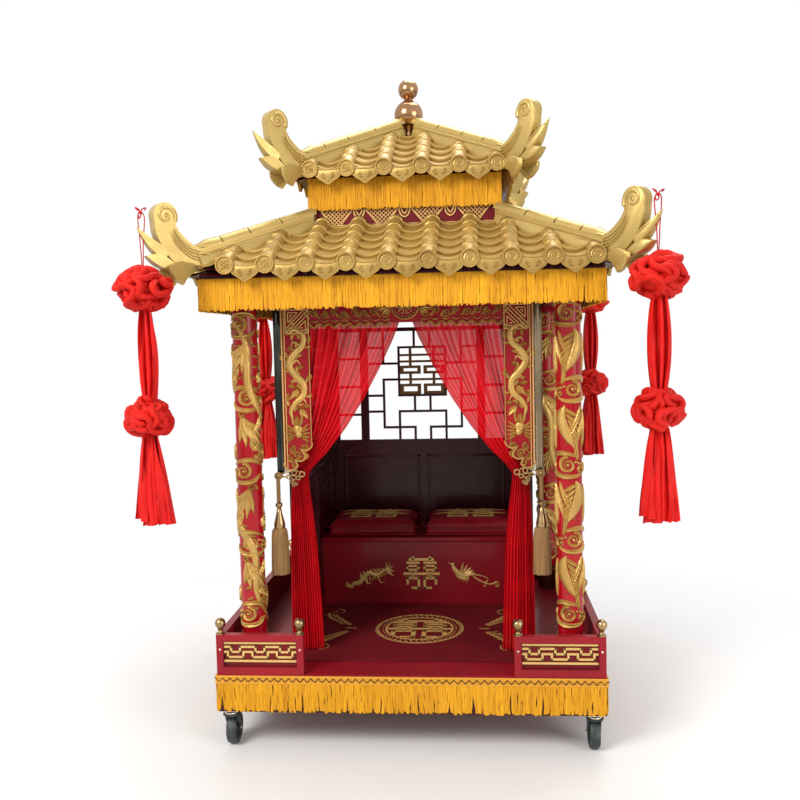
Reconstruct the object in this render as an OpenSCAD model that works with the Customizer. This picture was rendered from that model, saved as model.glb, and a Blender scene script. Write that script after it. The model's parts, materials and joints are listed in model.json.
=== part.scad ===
// Wedding palanquin with a curtained cabin, four columns and a two-tier tiled roof,
// on a low deck that rolls on four swivel casters.
// Front is -Y, right is +X, up is +Z. Origin: floor, centre of the plan. Millimetres.

/* [Deck] */
// Width of the deck, across the front
deck_w = 1500; // [1250:10:1800]
// Depth of the deck, front to back
deck_d = 1400; // [1160:10:1680]
// Height of the walking surface
deck_z = 308; // [280:2:370]
// Thickness of the deck board
deck_t = 18; // [12:1:30]
// Drop of the skirt below the walking surface
skirt_h = 151; // [120:1:155]
// Thickness of a skirt board
skirt_t = 18; // [12:1:30]

/* [Casters] */
// Wheel diameter
wheel_d = 125; // [100:1:130]
// Tread width
wheel_w = 32; // [26:1:38]
// Trail, swivel axis to wheel axle
caster_trail = 38; // [30:1:46]
// Distance of a swivel axis in from the deck's edges
caster_inset = 40; // [36:1:60]
// Edge of the square top plate
plate_w = 66; // [56:1:72]
// Axle radius
axle_r = 5; // [4:0.5:6]

/* [Balustrade] */
// Height of the rails above the deck
rail_h = 155; // [130:1:190]
// Thickness of the rails
rail_t = 30; // [24:1:36]
// Length of each short rail beside the entrance
front_rail_l = 344; // [290:2:400]
// Width of the frame round each rail's sunk panel
rail_frame = 26; // [20:1:32]
// Radius of the ball finials
finial_r = 21; // [17:1:25]

/* [Columns] */
// Column radius
column_r = 49; // [40:1:58]
// Column axis from the centre, across
column_x = 634; // [620:2:650]
// Column axis from the centre, front to back
column_y = 545; // [530:2:560]

/* [Cabin] */
// Half width of the cabin walls
cabin_hw = 500; // [440:2:515]
// Front frame plane of the cabin
cabin_front = 450; // [420:2:470]
// Outer face of the cabin's back wall
cabin_back = 620; // [600:2:660]
// Square section of the cabin posts
post_w = 40; // [30:1:48]
// Thickness of the cabin's wall panels
wall_t = 18; // [12:1:24]
// Height of the window sills
sill_z = 1054; // [960:2:1120]
// Height of the window heads
head_z = 1640; // [1560:2:1660]
// Reach of the dragon panels, inner edge to wing edge
wing_w = 150; // [120:2:160]
// Lower end of the dragon panels
wing_z = 1062; // [1000:2:1120]
// Bar width of the lattices
bar_w = 12; // [8:1:15]

/* [Bench] */
// Distance of the bench's front behind the centre
bench_y = 223; // [180:1:260]
// Height of the bench board's top above the deck
bench_h = 330; // [290:2:380]
// Thickness of a seat cushion
cushion_t = 80; // [66:1:96]

/* [Roof] */
// Underside of the ceiling board
beam_top = 1825; // [1800:1:1900]
// Half width of the lower eave
eave_half = 790; // [780:1:850]
// Half width of the upper eave
upper_half = 440; // [430:1:470]
// Half width of the neck between the roofs
neck_half = 372; // [340:1:385]
// Height of the neck's top above the line where the lower roof meets it
neck_rise = 218; // [210:1:260]
// Rise of the lower roof per unit of run
lower_rise = 0.4545; // [0.40:0.005:0.50]
// Rise of the upper roof per unit of run
upper_rise = 0.527; // [0.46:0.005:0.58]
// Distance between tile rows
tile_pitch = 150; // [140:1:160]
// Radius of a barrel tile
barrel_r = 33; // [28:1:36]
// Width of the hip ridges
hip_w = 60; // [50:1:68]
// Height of the eave fringes
fringe_h = 123; // [100:1:140]
// Radius of the big ball on the finial
ball_big = 64; // [54:1:72]

/* [Garlands] */
// Radius of the upper rosette
rosette_r = 110; // [90:1:120]
// Height of the upper rosette's middle
rosette_z = 1796; // [1760:2:1830]
// Height of the tail's lower end
tail_z = 940; // [880:5:1000]

/* [Hidden] */

$fn = 48;
seat = 0.3;          // gap between pieces that rest against each other
run_gap = 0.05;      // radial clearance of an axle in its bore

skirt_z = deck_z - skirt_h;
rail_top = deck_z + rail_h;
sides = [-1, 1];
corners = [for (x = sides) for (y = sides) [x, y]];

// ---------- helpers ----------

// A box from its low corner to its high corner
module slab(lo, hi) {
    translate(lo)
        cube(hi - lo);
}

// Four copies, one on each side of the plan
module four_sides() {
    for (k = [0 : 3])
        rotate(90 * k)
            children();
}

// An outline in the plane of a front panel: x across, y up, cut from y0 back by t
module upright(y0, t) {
    translate([0, y0 + t, 0])
        rotate([90, 0, 0])
            linear_extrude(t)
                children();
}

// ---------- deck and skirt ----------

module deck_board() {
    color("darkred")
        slab([-deck_w / 2, -deck_d / 2, deck_z - deck_t], [deck_w / 2, deck_d / 2, deck_z]);
}

module skirt_boards() {
    top = deck_z - deck_t;
    color("darkred")
        for (s = sides) {
            translate([0, s * (deck_d - skirt_t) / 2, (top + skirt_z) / 2])
                cube([deck_w, skirt_t, top - skirt_z], center = true);
            translate([s * (deck_w - skirt_t) / 2, 0, (top + skirt_z) / 2])
                cube([skirt_t, deck_d - 2 * skirt_t - 2 * seat, top - skirt_z], center = true);
        }
}

joist_w = 40;
joist_h = 90;
block_w = plate_w + 34;

module deck_joists() {
    top = deck_z - deck_t;
    color("saddlebrown")
        for (k = [-1 : 1])
            translate([k * deck_w / 4, 0, top - joist_h / 2])
                cube([joist_w, deck_d - 2 * skirt_t - 2 * seat, joist_h], center = true);
}

module caster_blocks() {
    top = deck_z - deck_t;
    inset = skirt_t + seat;
    color("saddlebrown")
        for (c = corners)
            translate([c[0] * (deck_w / 2 - inset - block_w / 2),
                       c[1] * (deck_d / 2 - inset - block_w / 2), (top + skirt_z) / 2])
                cube([block_w, block_w, top - skirt_z], center = true);
}

trim_t = 6;

// Braid and strands round the deck, one flat piece a side
module base_fringe() {
    color("goldenrod") {
        for (s = sides) {
            translate([0, s * (deck_d / 2 + seat + trim_t / 2), deck_z - skirt_h / 2])
                cube([deck_w, trim_t, skirt_h], center = true);
            translate([s * (deck_w / 2 + seat + trim_t / 2), 0, deck_z - skirt_h / 2])
                cube([trim_t, deck_d, skirt_h], center = true);
        }
    }
}

// ---------- balustrade ----------

recess = 12;
fret_t = 7;
fret_bar = 7;

// A rail board of length l lying along +X from the origin, sunk panel on its -Y face
module rail_board(l) {
    difference() {
        cube([l, rail_t, rail_h]);
        translate([rail_frame, -1, rail_frame])
            cube([l - 2 * rail_frame, recess + 1, rail_h - 2 * rail_frame]);
    }
}

// Running key-pattern fret that fills l by h: two rails above, two below, hooks between
module fret_outline(l, h) {
    n = max(1, round(l / 60));
    step = l / n;
    mid = h / 2;
    for (z = [0, h - fret_bar])
        translate([0, z])
            square([l, fret_bar]);
    for (i = [0 : n - 1])
        translate([i * step, 0]) {
            translate([step * 0.15, 0])
                square([fret_bar, mid + fret_bar / 2]);
            translate([step * 0.15, mid - fret_bar / 2])
                square([step * 0.5, fret_bar]);
            translate([step * 0.65 - fret_bar, mid - fret_bar / 2])
                square([fret_bar, h - mid + fret_bar / 2]);
        }
}

module rail_fret(l) {
    fl = l - 2 * rail_frame - 4 * seat;
    fh = (rail_h - 2 * rail_frame) * 0.72;
    translate([rail_frame + 2 * seat, recess - fret_t - seat, rail_h - rail_frame - fh - 2 * seat])
        translate([0, fret_t, 0])
            rotate([90, 0, 0])
                linear_extrude(fret_t)
                    fret_outline(fl, fh);
}

side_rail_l = deck_d - 2 * rail_t - 2 * seat;
mid_rail_y = -120;                      // where the two lengths of a side rail meet
side_lengths = [[-deck_d / 2 + rail_t + seat, mid_rail_y - seat],
                [mid_rail_y, deck_d / 2 - rail_t - seat]];

// Places a length of rail on each side of the deck; children(0) is drawn with length $l
module on_front() {
    $l = front_rail_l;
    translate([-deck_w / 2, -deck_d / 2, deck_z])
        children();
    translate([deck_w / 2 - front_rail_l, -deck_d / 2, deck_z])
        children();
}

module on_sides() {
    for (s = sides)
        for (p = side_lengths) {
            $l = p[1] - p[0];
            translate([s * deck_w / 2, s > 0 ? p[0] : p[1], deck_z])
                rotate(s > 0 ? 90 : -90)
                    children();
        }
}

module on_rear() {
    $l = deck_w;
    translate([deck_w / 2, deck_d / 2, deck_z])
        rotate(180)
            children();
}

module front_rails() {
    color("firebrick")
        on_front()
            rail_board($l);
}

module side_rails() {
    color("firebrick")
        on_sides()
            rail_board($l);
}

module rear_rail() {
    color("firebrick")
        on_rear()
            rail_board($l);
}

module rail_frets() {
    color("gold") {
        on_front()
            rail_fret($l);
        on_sides()
            rail_fret($l);
        on_rear()
            rail_fret($l);
    }
}

finial_in = rail_t / 2;
finial_spots = concat(
    [for (s = sides) for (x = [deck_w / 2 - finial_in, deck_w / 2 - front_rail_l + finial_in])
        [s * x, -deck_d / 2 + finial_in]],
    [for (s = sides) [s * (deck_w / 2 - finial_in), mid_rail_y + 20]],
    [for (s = sides) [s * (deck_w / 2 - finial_in), deck_d / 2 - finial_in]]);
finial_base_h = finial_r * 1.1;

module post_finials() {
    color("darkgoldenrod")
        for (p = finial_spots)
            translate([p[0], p[1], rail_top + seat]) {
                cylinder(h = 4, r = finial_r * 0.68);
                cylinder(h = finial_base_h, r1 = finial_r * 0.6, r2 = finial_r * 0.35);
                translate([0, 0, finial_base_h + finial_r * 0.9])
                    sphere(finial_r);
            }
}

// ---------- columns ----------

ring_h = 120;
ring_t = 3;
beam_h = 80;
beam_w = 60;
beam_z = beam_top - beam_h;

module column(x, y) {
    color("crimson")
        translate([x * column_x, y * column_y, deck_z])
            cylinder(h = beam_z - deck_z - seat, r = column_r);
}

module column_rings() {
    color("sienna")
        for (c = corners)
            translate([c[0] * column_x, c[1] * column_y, deck_z + seat])
                difference() {
                    cylinder(h = ring_h, r = column_r + seat + ring_t);
                    translate([0, 0, -1])
                        cylinder(h = ring_h + 2, r = column_r + seat);
                }
}

// ---------- cabin ----------

carpet_t = 4;
carpet_front = 560;
floor_z = deck_z + carpet_t + seat;

module carpet() {
    w = cabin_hw - post_w - 2;
    color("maroon")
        slab([-w, -carpet_front, deck_z + seat], [w, bench_y - 1, deck_z + seat + carpet_t]);
}

curtain_t = 26;
curtain_y = -cabin_front + 2;
post_front_y = curtain_y + curtain_t + 2 + post_w / 2;
post_back_y = cabin_back - post_w / 2;
post_x = cabin_hw - post_w / 2;

module cabin_posts() {
    color("darkred")
        for (s = sides)
            for (y = [post_front_y, post_back_y])
                translate([s * post_x, y, (deck_z + beam_top) / 2])
                    cube([post_w, post_w, beam_top - deck_z - 2 * seat], center = true);
}

wing_t = 14;
strip_w = 30;
wing_out = cabin_hw + 40;
wing_in = wing_out - wing_w;
strip_h = beam_top - wing_z;
panel_y = -cabin_front - seat - wing_t;

// Hanging panel beside the entrance, with a stepped cloud-shaped lower end
module dragon_panel(s) {
    inner = wing_in;
    outer = wing_out - strip_w - seat;
    mid = (inner + outer) / 2;
    color("firebrick")
        mirror([s < 0 ? 1 : 0, 0, 0])
            upright(panel_y, wing_t) {
                translate([inner, wing_z + 110])
                    square([outer - inner, beam_top - seat - wing_z - 110]);
                translate([mid, wing_z + 60])
                    square([outer - mid, 60]);
                translate([mid + 4, wing_z + 104])
                    circle(mid - inner - 4);
                translate([outer - 30, wing_z + 40])
                    circle(30);
            }
}

module edge_strips() {
    color("silver")
        for (s = sides)
            mirror([s < 0 ? 1 : 0, 0, 0])
                slab([wing_out - strip_w, panel_y, wing_z], [wing_out, panel_y + wing_t, beam_top - seat]);
}

lintel_z = 1665;

module lintel() {
    w = wing_in - seat;
    color("firebrick")
        slab([-w, panel_y, lintel_z], [w, panel_y + wing_t, beam_top - seat]);
}

bracket_w = 100;
bracket_z = 1628;
bracket_t = 6;

// Openwork corner piece: a square frame with a diamond and two crossing bars
module bracket_outline() {
    b = 8;
    difference() {
        square(bracket_w);
        translate([b, b])
            square(bracket_w - 2 * b);
    }
    translate([bracket_w / 2, bracket_w / 2]) {
        for (a = [45, -45])
            rotate(a)
                square([bracket_w * 1.25, b], center = true);
        difference() {
            rotate(45)
                square(bracket_w * 0.42, center = true);
            rotate(45)
                square(bracket_w * 0.42 - 2 * b, center = true);
        }
    }
}

module corner_brackets() {
    color("gold")
        for (s = sides)
            mirror([s < 0 ? 1 : 0, 0, 0])
                translate([wing_in, 0, bracket_z])
                    upright(panel_y - seat - bracket_t, bracket_t)
                        bracket_outline();
}

back_in = cabin_back - wall_t;
wall_hw = cabin_hw - post_w - seat;

module back_panel() {
    color("maroon")
        slab([-wall_hw, back_in, deck_z + seat], [wall_hw, cabin_back, sill_z]);
}

stile_x = 305;
stile_w = 42;
cells = 7;

// Upright frame of width 2*hw from z0 to z1 with rails and stiles of width f
module frame_outline(hw, z0, z1, f) {
    difference() {
        translate([-hw, z0])
            square([2 * hw, z1 - z0]);
        translate([-hw + f, z0 + f])
            square([2 * (hw - f), z1 - z0 - 2 * f]);
    }
}

happy_hw = 1.5 * 2 * (stile_x - stile_w / 2) / cells;
happy_z0 = sill_z + 3 * (head_z - sill_z) / cells;
happy_z1 = sill_z + 6 * (head_z - sill_z) / cells;
lattice_t = 16;

// Bars of the middle window as [first cell, last cell, grid line]; the panel's frame is among them
lattice_across = [[1, 3, 1], [4, 6, 1], [0, 1, 2], [2, 5, 2], [6, 7, 2], [0, 1, 3], [2, 5, 3], [6, 7, 3],
                  [1, 2, 4], [5, 6, 4], [0, 2, 5], [5, 7, 5], [2, 5, 6], [0, 1, 6], [6, 7, 6]];
lattice_upright = [[0, 2, 2], [0, 2, 5], [0, 1, 3], [0, 1, 4], [2, 3, 3], [2, 3, 4], [1, 4, 1], [1, 4, 6],
                   [3, 6, 2], [3, 6, 5], [5, 7, 1], [5, 7, 6], [6, 7, 3], [6, 7, 4]];

module lattice_field() {
    hw = stile_x - stile_w / 2;
    cw = 2 * hw / cells;
    ch = (head_z - sill_z) / cells;
    for (b = lattice_across)
        translate([-hw + cw * b[0] - bar_w / 2, sill_z + ch * b[2] - bar_w / 2])
            square([cw * (b[1] - b[0]) + bar_w, bar_w]);
    for (b = lattice_upright)
        translate([-hw + cw * b[2] - bar_w / 2, sill_z + ch * b[0] - bar_w / 2])
            square([bar_w, ch * (b[1] - b[0]) + bar_w]);
}

module back_lattice() {
    color("darkred")
        upright(cabin_back - lattice_t, lattice_t) {
            frame_outline(wall_hw, sill_z + seat, head_z + 20, 20);
            for (s = sides)
                translate([s * stile_x - stile_w / 2, sill_z + 10])
                    square([stile_w, head_z - sill_z]);
            intersection() {
                lattice_field();
                translate([-stile_x, sill_z + seat])
                    square([2 * stile_x, head_z - sill_z]);
            }
            for (s = sides)
                for (i = [1 : 3])
                    translate([s * (stile_x + wall_hw) / 2 - (wall_hw - stile_x) / 2,
                               sill_z + i * (head_z - sill_z) / 4])
                        square([wall_hw - stile_x, bar_w]);
        }
}

// Fretted panel of bars and four slotted blocks; shares are of its width and height, from the top
module happiness_panel() {
    hw = happy_hw - bar_w / 2 - seat;
    z0 = happy_z0 + bar_w / 2 + seat;
    z1 = happy_z1 - bar_w / 2 - seat;
    w = 2 * hw;
    h = z1 - z0;
    post = 0.062;
    color("peru")
        upright(cabin_back - lattice_t + 2, lattice_t - 4)
            translate([-hw, z1]) {
                for (y = [0.12, 0.26, 0.655])
                    translate([0, -h * (y + 0.05)])
                        square([w, h * 0.05]);
                for (x = [0.235, 0.765])
                    for (span = [[0, 0.4], [0.54, 0.8]])
                        translate([w * (x - post / 2), -h * span[1]])
                            square([w * post, h * (span[1] - span[0])]);
                for (x = [0, 0.53])
                    for (y = [[0.375, 0.56], [0.775, 1]])
                        difference() {
                            translate([w * x, -h * y[1]])
                                square([w * 0.47, h * (y[1] - y[0])]);
                            translate([w * (x + 0.08), -h * (y[1] - 0.06)])
                                square([w * 0.31, h * (y[1] - y[0] - 0.12)]);
                        }
            }
}

side_y0 = post_front_y + post_w / 2 + seat;
side_y1 = post_back_y - post_w / 2 - seat;

module side_panels() {
    color("maroon")
        for (s = sides)
            mirror([s < 0 ? 1 : 0, 0, 0])
                slab([cabin_hw - wall_t, side_y0, deck_z + seat], [cabin_hw, side_y1, sill_z]);
}

module side_lattices() {
    n = 10;
    hw = (side_y1 - side_y0) / 2;
    color("darkred")
        for (s = sides)
            translate([s * (cabin_hw - wall_t / 2) + lattice_t / 2 * -1, (side_y0 + side_y1) / 2, 0])
                rotate([90, 0, 90])
                    linear_extrude(lattice_t) {
                        frame_outline(hw, sill_z + seat, head_z + 20, 20);
                        for (i = [1 : n - 1])
                            translate([-hw + 2 * hw * i / n - bar_w / 2, sill_z + 10])
                                square([bar_w, head_z - sill_z]);
                        for (i = [1 : 6])
                            translate([-hw + 5, sill_z + (head_z - sill_z) * i / 7 - bar_w / 2])
                                square([2 * hw - 10, bar_w]);
                    }
}

// ---------- bench and cushions ----------

bench_t = 18;
bench_hw = wall_hw + post_w - wall_t - seat;
bench_top = deck_z + bench_h;

module bench_box() {
    z0 = deck_z + seat;
    z1 = bench_top - bench_t - seat;
    color("firebrick") {
        slab([-bench_hw, bench_y, z0], [bench_hw, bench_y + bench_t, z1]);
        for (s = sides)
            mirror([s < 0 ? 1 : 0, 0, 0])
                slab([bench_hw - bench_t, bench_y + bench_t + seat, z0], [bench_hw, back_in - post_w, z1]);
    }
}

module bench_board() {
    color("firebrick")
        slab([-bench_hw, bench_y - 6, bench_top - bench_t], [bench_hw, post_back_y - post_w / 2 - seat, bench_top]);
}

module cushion(s) {
    gap = 5;
    l = bench_hw - 2 * gap;
    d = post_back_y - post_w / 2 - bench_y - 2 * gap;
    r = 18;
    color("firebrick")
        translate([s * (bench_hw / 2), bench_y + gap + d / 2, bench_top + seat])
            linear_extrude(cushion_t) {
                square([l - 2 * r, d], center = true);
                square([l, d - 2 * r], center = true);
                for (c = corners)
                    translate([c[0] * (l / 2 - r), c[1] * (d / 2 - r)])
                        circle(r);
            }
}

// ---------- curtains, holdbacks and tassels ----------

curtain_tie = wing_z - 8;
curtain_top = beam_top - seat;
curtain_in = 366;
curtain_out = cabin_hw + 5;

// One swept curtain: wide at the lintel, gathered at the holdback, then straight to the floor
module curtain(s) {
    outer = curtain_out;
    low = floor_z + 3;
    color("red", 0.8)
        mirror([s < 0 ? 1 : 0, 0, 0])
            upright(curtain_y, curtain_t)
                polygon([
                    [outer, curtain_top], [8, curtain_top], [8, 1680],
                    [70, 1560], [170, 1370], [280, 1200], [400, curtain_tie],
                    [curtain_in + 10, 700], [curtain_in, low], [outer, low]]);
}

hook_t = 8;
hook_y = panel_y - hook_t - seat;
hook_x = wing_out - 50;
hook_z = wing_z - 6;
pin_r = 4;
tassel_r = 38;
tassel_x = wing_out - 10;
tassel_y = panel_y - 30;
tassel_top = hook_z - 30;
tassel_l = 375;

// Openwork hook on the foot of each wing, with the pin that its tassel hangs from
module holdbacks() {
    color("gold")
        for (s = sides)
            mirror([s < 0 ? 1 : 0, 0, 0]) {
                upright(hook_y, hook_t)
                    translate([hook_x, hook_z])
                        difference() {
                            union() {
                                circle(32);
                                translate([tassel_x - hook_x - 4, -14])
                                    circle(24);
                            }
                            circle(18);
                        }
                translate([tassel_x, hook_y + hook_t, tassel_top + pin_r + seat])
                    rotate([90, 0, 0])
                        cylinder(h = hook_y + hook_t - tassel_y + pin_r, r = pin_r);
            }
}

// Cord, knob, cap and skirt of each tassel as one turned shape
module tassels() {
    color("tan")
        for (s = sides)
            translate([s * tassel_x, tassel_y, tassel_top])
                rotate_extrude()
                    polygon([
                        [0, 0], [3, 0], [3, -56], [12, -63], [12, -74], [6, -82],
                        [20, -90], [27, -172], [tassel_r - 2, -240], [tassel_r, -tassel_l],
                        [0, -tassel_l]]);
}

// ---------- beams, ceiling and eaves ----------

ceiling_t = 12;
ceiling_top = beam_top + ceiling_t;
fascia_half = 748;
fascia_t = 16;
plate_t = 20;
neck_fret_t = 6;
lower_eave_z = beam_top + 20;

// Height of a slope's underside where the half width is a
function lower_under(a) = lower_eave_z + (eave_half - a) * lower_rise;
function upper_under(a) = upper_eave_z + (upper_half - a) * upper_rise;

neck_z = lower_under(neck_half) + neck_rise;
upper_eave_z = neck_z - 5;

module eave_beams() {
    color("darkred") {
        for (s = sides) {
            translate([0, s * column_y, beam_top - beam_h / 2])
                cube([2 * column_x + beam_w, beam_w, beam_h - 2 * seat], center = true);
            translate([s * column_x, 0, beam_top - beam_h / 2])
                cube([beam_w, 2 * column_y - beam_w - 2 * seat, beam_h - 2 * seat], center = true);
        }
    }
}

module ceiling_board() {
    h = fascia_half - fascia_t - seat;
    color("darkred")
        slab([-h, -h, beam_top], [h, h, ceiling_top]);
}

fascia_z = beam_top - 30;

module fascia_boards() {
    top = lower_under(fascia_half) - seat;
    color("maroon")
        four_sides()
            slab([-fascia_half + fascia_t + seat, -fascia_half, fascia_z],
                 [fascia_half, -fascia_half + fascia_t, top]);
}

lower_fringe_top = beam_top + 13;

module lower_fringe() {
    a = fascia_half + seat;
    color("goldenrod")
        four_sides()
            slab([-a + seat, -a - trim_t, lower_fringe_top - fringe_h], [a + trim_t, -a, lower_fringe_top]);
}

// ---------- roofs ----------

hip_gap = (hip_w / 2 + seat) * sqrt(2);
upper_board_half = neck_half + 15;
fringe_out = upper_board_half + seat + trim_t;
lower_rows = 10;
lower_shift = 38;
upper_rows = 6;
barrel_up = 14;

// Plan of one slope on the -Y side, kept clear of the hip ridges
module slope_plan(outer, inner) {
    polygon([
        [-outer + hip_gap, -outer], [outer - hip_gap, -outer],
        [max(inner - hip_gap, 0.5), -inner], [-max(inner - hip_gap, 0.5), -inner]]);
}

// One tiled slope; under is the height of its underside at the eave
module slope(outer, inner, under, rise, rows, shift) {
    angle = atan(rise);
    run = (outer - inner) / cos(angle) + 160;
    intersection() {
        translate([0, -outer, under])
            rotate([angle, 0, 0])
                translate([0, -60, plate_t])
                    rotate([90, 0, 0])
                        mirror([0, 0, 1])
                            linear_extrude(run) {
                                translate([-outer, -plate_t])
                                    square([2 * outer, plate_t]);
                                for (i = [0 : rows - 1])
                                    translate([(i - (rows - 1) / 2) * tile_pitch + shift, barrel_up])
                                        circle(barrel_r);
                            }
        translate([0, 0, under - 100])
            linear_extrude(900)
                slope_plan(outer, inner);
    }
}

module lower_roof() {
    color("goldenrod")
        four_sides()
            slope(eave_half, neck_half + neck_fret_t + 3 * seat, lower_eave_z, lower_rise, lower_rows, lower_shift);
}

apex_half = hip_gap + 12;

module upper_roof() {
    color("goldenrod")
        four_sides()
            slope(upper_half, apex_half, upper_eave_z, upper_rise, upper_rows, 0);
}

hip_base_h = 62;
hip_round_r = 27;
hip_set = 12;             // eave corner of a hip, in from the eave
scroll_r = 45;
scroll_lift = 8;
leaf_root = [152, 108];
leaf_tip = [197, 150];
leaf_hang = 178;          // where a garland's cord hangs from the leaf, out from the eave corner

// Upturned end of a hip: curl, leaves and drop, drawn from the eave corner at the origin
module scroll_outline() {
    polygon([
        [-90, 40], [0, 120], [45, 128], [68, 160], [60, 215], [93, 248], [138, 205], [166, 195],
        [150, 165], leaf_tip, leaf_root, [162, 54], [110, 40], [95, 5], [42, -42], [10, -12], [-28, 14]]);
    translate([93, 203])
        circle(scroll_r);
}

// One hip ridge along +X from s0 to the corner at s1; under(z) falls by rise/sqrt(2) per unit
module hip(s0, s1, z1, rise) {
    fall = rise / sqrt(2);
    z0 = z1 + (s1 - s0) * fall;
    translate([0, hip_w / 2, 0])
        rotate([90, 0, 0])
            linear_extrude(hip_w)
                polygon([
                    [s0, z0], [s1, z1], [s1, z1 + plate_t + hip_base_h],
                    [s0, z0 + plate_t + hip_base_h]]);
    translate([0, hip_w / 2 - 8, 0])
        rotate([90, 0, 0])
            linear_extrude(hip_w - 16)
                translate([s1, z1 + scroll_lift])
                    scroll_outline();
    translate([s1, 0, z1 + plate_t + hip_base_h])
        rotate([0, -90 + atan(-fall) * -1, 0])
            cylinder(h = (s1 - s0) / cos(atan(fall)), r = hip_round_r);
}

module lower_hips() {
    color("darkgoldenrod")
        for (k = [0 : 3])
            rotate(45 + 90 * k)
                hip((fringe_out + 0.7) * sqrt(2), (eave_half - hip_set) * sqrt(2),
                lower_under(eave_half - hip_set), lower_rise);
}

module upper_hips() {
    color("darkgoldenrod")
        for (k = [0 : 3])
            rotate(45 + 90 * k)
                hip(ball_big + 4, (upper_half - 8) * sqrt(2), upper_under(upper_half - 8), upper_rise);
}

neck_t = 16;

module neck_walls() {
    color("maroon")
        four_sides()
            slab([-neck_half + neck_t + seat, -neck_half, ceiling_top + seat],
                 [neck_half, -neck_half + neck_t, neck_z - seat]);
}

neck_fret_z = lower_under(neck_half) + plate_t + 10;
neck_fret_h = neck_z - fringe_h - neck_fret_z + 14;

// Crossed bars alternating with plain posts along one face of the neck
module neck_fret_outline() {
    n = 8;
    cell = 2 * (neck_half - 4) / n;
    b = 7;
    for (z = [0, neck_fret_h - b])
        translate([-neck_half + 4, z])
            square([2 * (neck_half - 4), b]);
    for (i = [0 : n - 1])
        translate([-neck_half + 4 + cell * (i + 0.5), neck_fret_h / 2])
            for (a = [34, -34])
                rotate(a)
                    square([neck_fret_h * 1.45, b], center = true);
}

module neck_frets() {
    color("gold")
        four_sides()
            upright(-neck_half - seat - neck_fret_t, neck_fret_t)
                translate([0, neck_fret_z])
                    intersection() {
                        neck_fret_outline();
                        translate([-neck_half + 4, 0])
                            square([2 * (neck_half - 4), neck_fret_h]);
                    }
}

module upper_board() {
    h = upper_board_half;
    color("maroon")
        slab([-h, -h, neck_z], [h, h, upper_under(h) - seat]);
}

module upper_fringe() {
    a = upper_board_half + seat;
    color("goldenrod")
        four_sides()
            slab([-a + seat, -a - trim_t, neck_z - fringe_h - 4], [a + trim_t, -a, neck_z + 10]);
}

ball_small = 45;
ball_z = upper_under(0) + 112;
ball_small_z = ball_z + 110;

// Plug in the roof's apex, stem, then two balls with a collar between
module top_finial() {
    plug_z = upper_under(apex_half);
    color("sienna") {
        translate([0, 0, plug_z])
            cylinder(h = 50, r = apex_half - 0.5);
        translate([0, 0, plug_z])
            cylinder(h = ball_z - plug_z, r = 24);
        translate([0, 0, ball_z])
            sphere(ball_big);
        translate([0, 0, ball_z])
            cylinder(h = ball_small_z - ball_z, r = 22);
        translate([0, 0, ball_small_z])
            sphere(ball_small);
    }
}

// ---------- garlands ----------

cord_r = 3;
eave_corner = eave_half - hip_set;
leaf_slope = (leaf_tip[1] - leaf_root[1]) / (leaf_tip[0] - leaf_root[0]);
garland_a = eave_corner + leaf_hang / sqrt(2);
garland_top = lower_under(eave_corner) + scroll_lift + leaf_root[1]
    + (leaf_hang - cord_r - leaf_root[0]) * leaf_slope - seat;

// Cord, two rosettes and a ribbon tail as one turned shape hung below a leaf tip
module garland() {
    second = rosette_z - 460;
    rotate_extrude()
        polygon(concat(
            [[0, garland_top], [cord_r, garland_top], [cord_r, rosette_z + 92]],
            [for (t = [80 : -20 : -80]) [rosette_r * cos(t), rosette_z + 90 * sin(t)]],
            [[36, rosette_z - 96], [34, rosette_z - 236], [36, second + 88]],
            [for (t = [70 : -20 : -70]) [rosette_r * 0.88 * cos(t), second + 86 * sin(t)]],
            [[45, second - 96], [78, tail_z], [0, tail_z]]));
}

module garlands() {
    color("red")
        for (c = corners)
            translate([c[0] * garland_a, c[1] * garland_a, 0])
                garland();
}

// ---------- casters ----------

caster_x = deck_w / 2 - caster_inset;
caster_y = deck_d / 2 - caster_inset;
caster_top_t = 5;
plate_z = skirt_z - seat - caster_top_t;
crown_t = 5;
wheel_r = wheel_d / 2;
crown_z = wheel_d + 6;
race_r = 22;
fork_gap = wheel_w / 2 + 5;
leg_t = 4;
leg_w = 26;

module caster_plates() {
    color("silver")
        for (c = corners)
            translate([c[0] * caster_x, c[1] * caster_y, plate_z])
                translate([-plate_w / 2, -plate_w / 2, 0])
                    cube([plate_w, plate_w, caster_top_t]);
}

// Crown, swivel race, two legs and the axle, turned so that the wheel trails to +Y
module fork(x, y) {
    color("darkslategray")
        translate([x * caster_x, y * caster_y, 0]) {
            translate([0, 0, crown_z])
                cylinder(h = crown_t, r = fork_gap + leg_t + 8);
            translate([0, 0, crown_z + crown_t])
                cylinder(h = plate_z - crown_z - crown_t - seat, r = race_r);
            for (s = sides)
                translate([s * (fork_gap + leg_t / 2) - leg_t / 2, 0, 0])
                    rotate([90, 0, 90])
                        linear_extrude(leg_t) {
                            polygon([
                                [-leg_w / 2, crown_z + 1], [leg_w, crown_z + 1],
                                [caster_trail + leg_w / 2, wheel_r], [caster_trail - leg_w / 2, wheel_r]]);
                            translate([caster_trail, wheel_r])
                                circle(leg_w / 2);
                        }
            translate([-fork_gap - leg_t - 5, caster_trail, wheel_r])
                rotate([0, 90, 0])
                    cylinder(h = 2 * (fork_gap + leg_t + 5), r = axle_r);
        }
}

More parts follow.
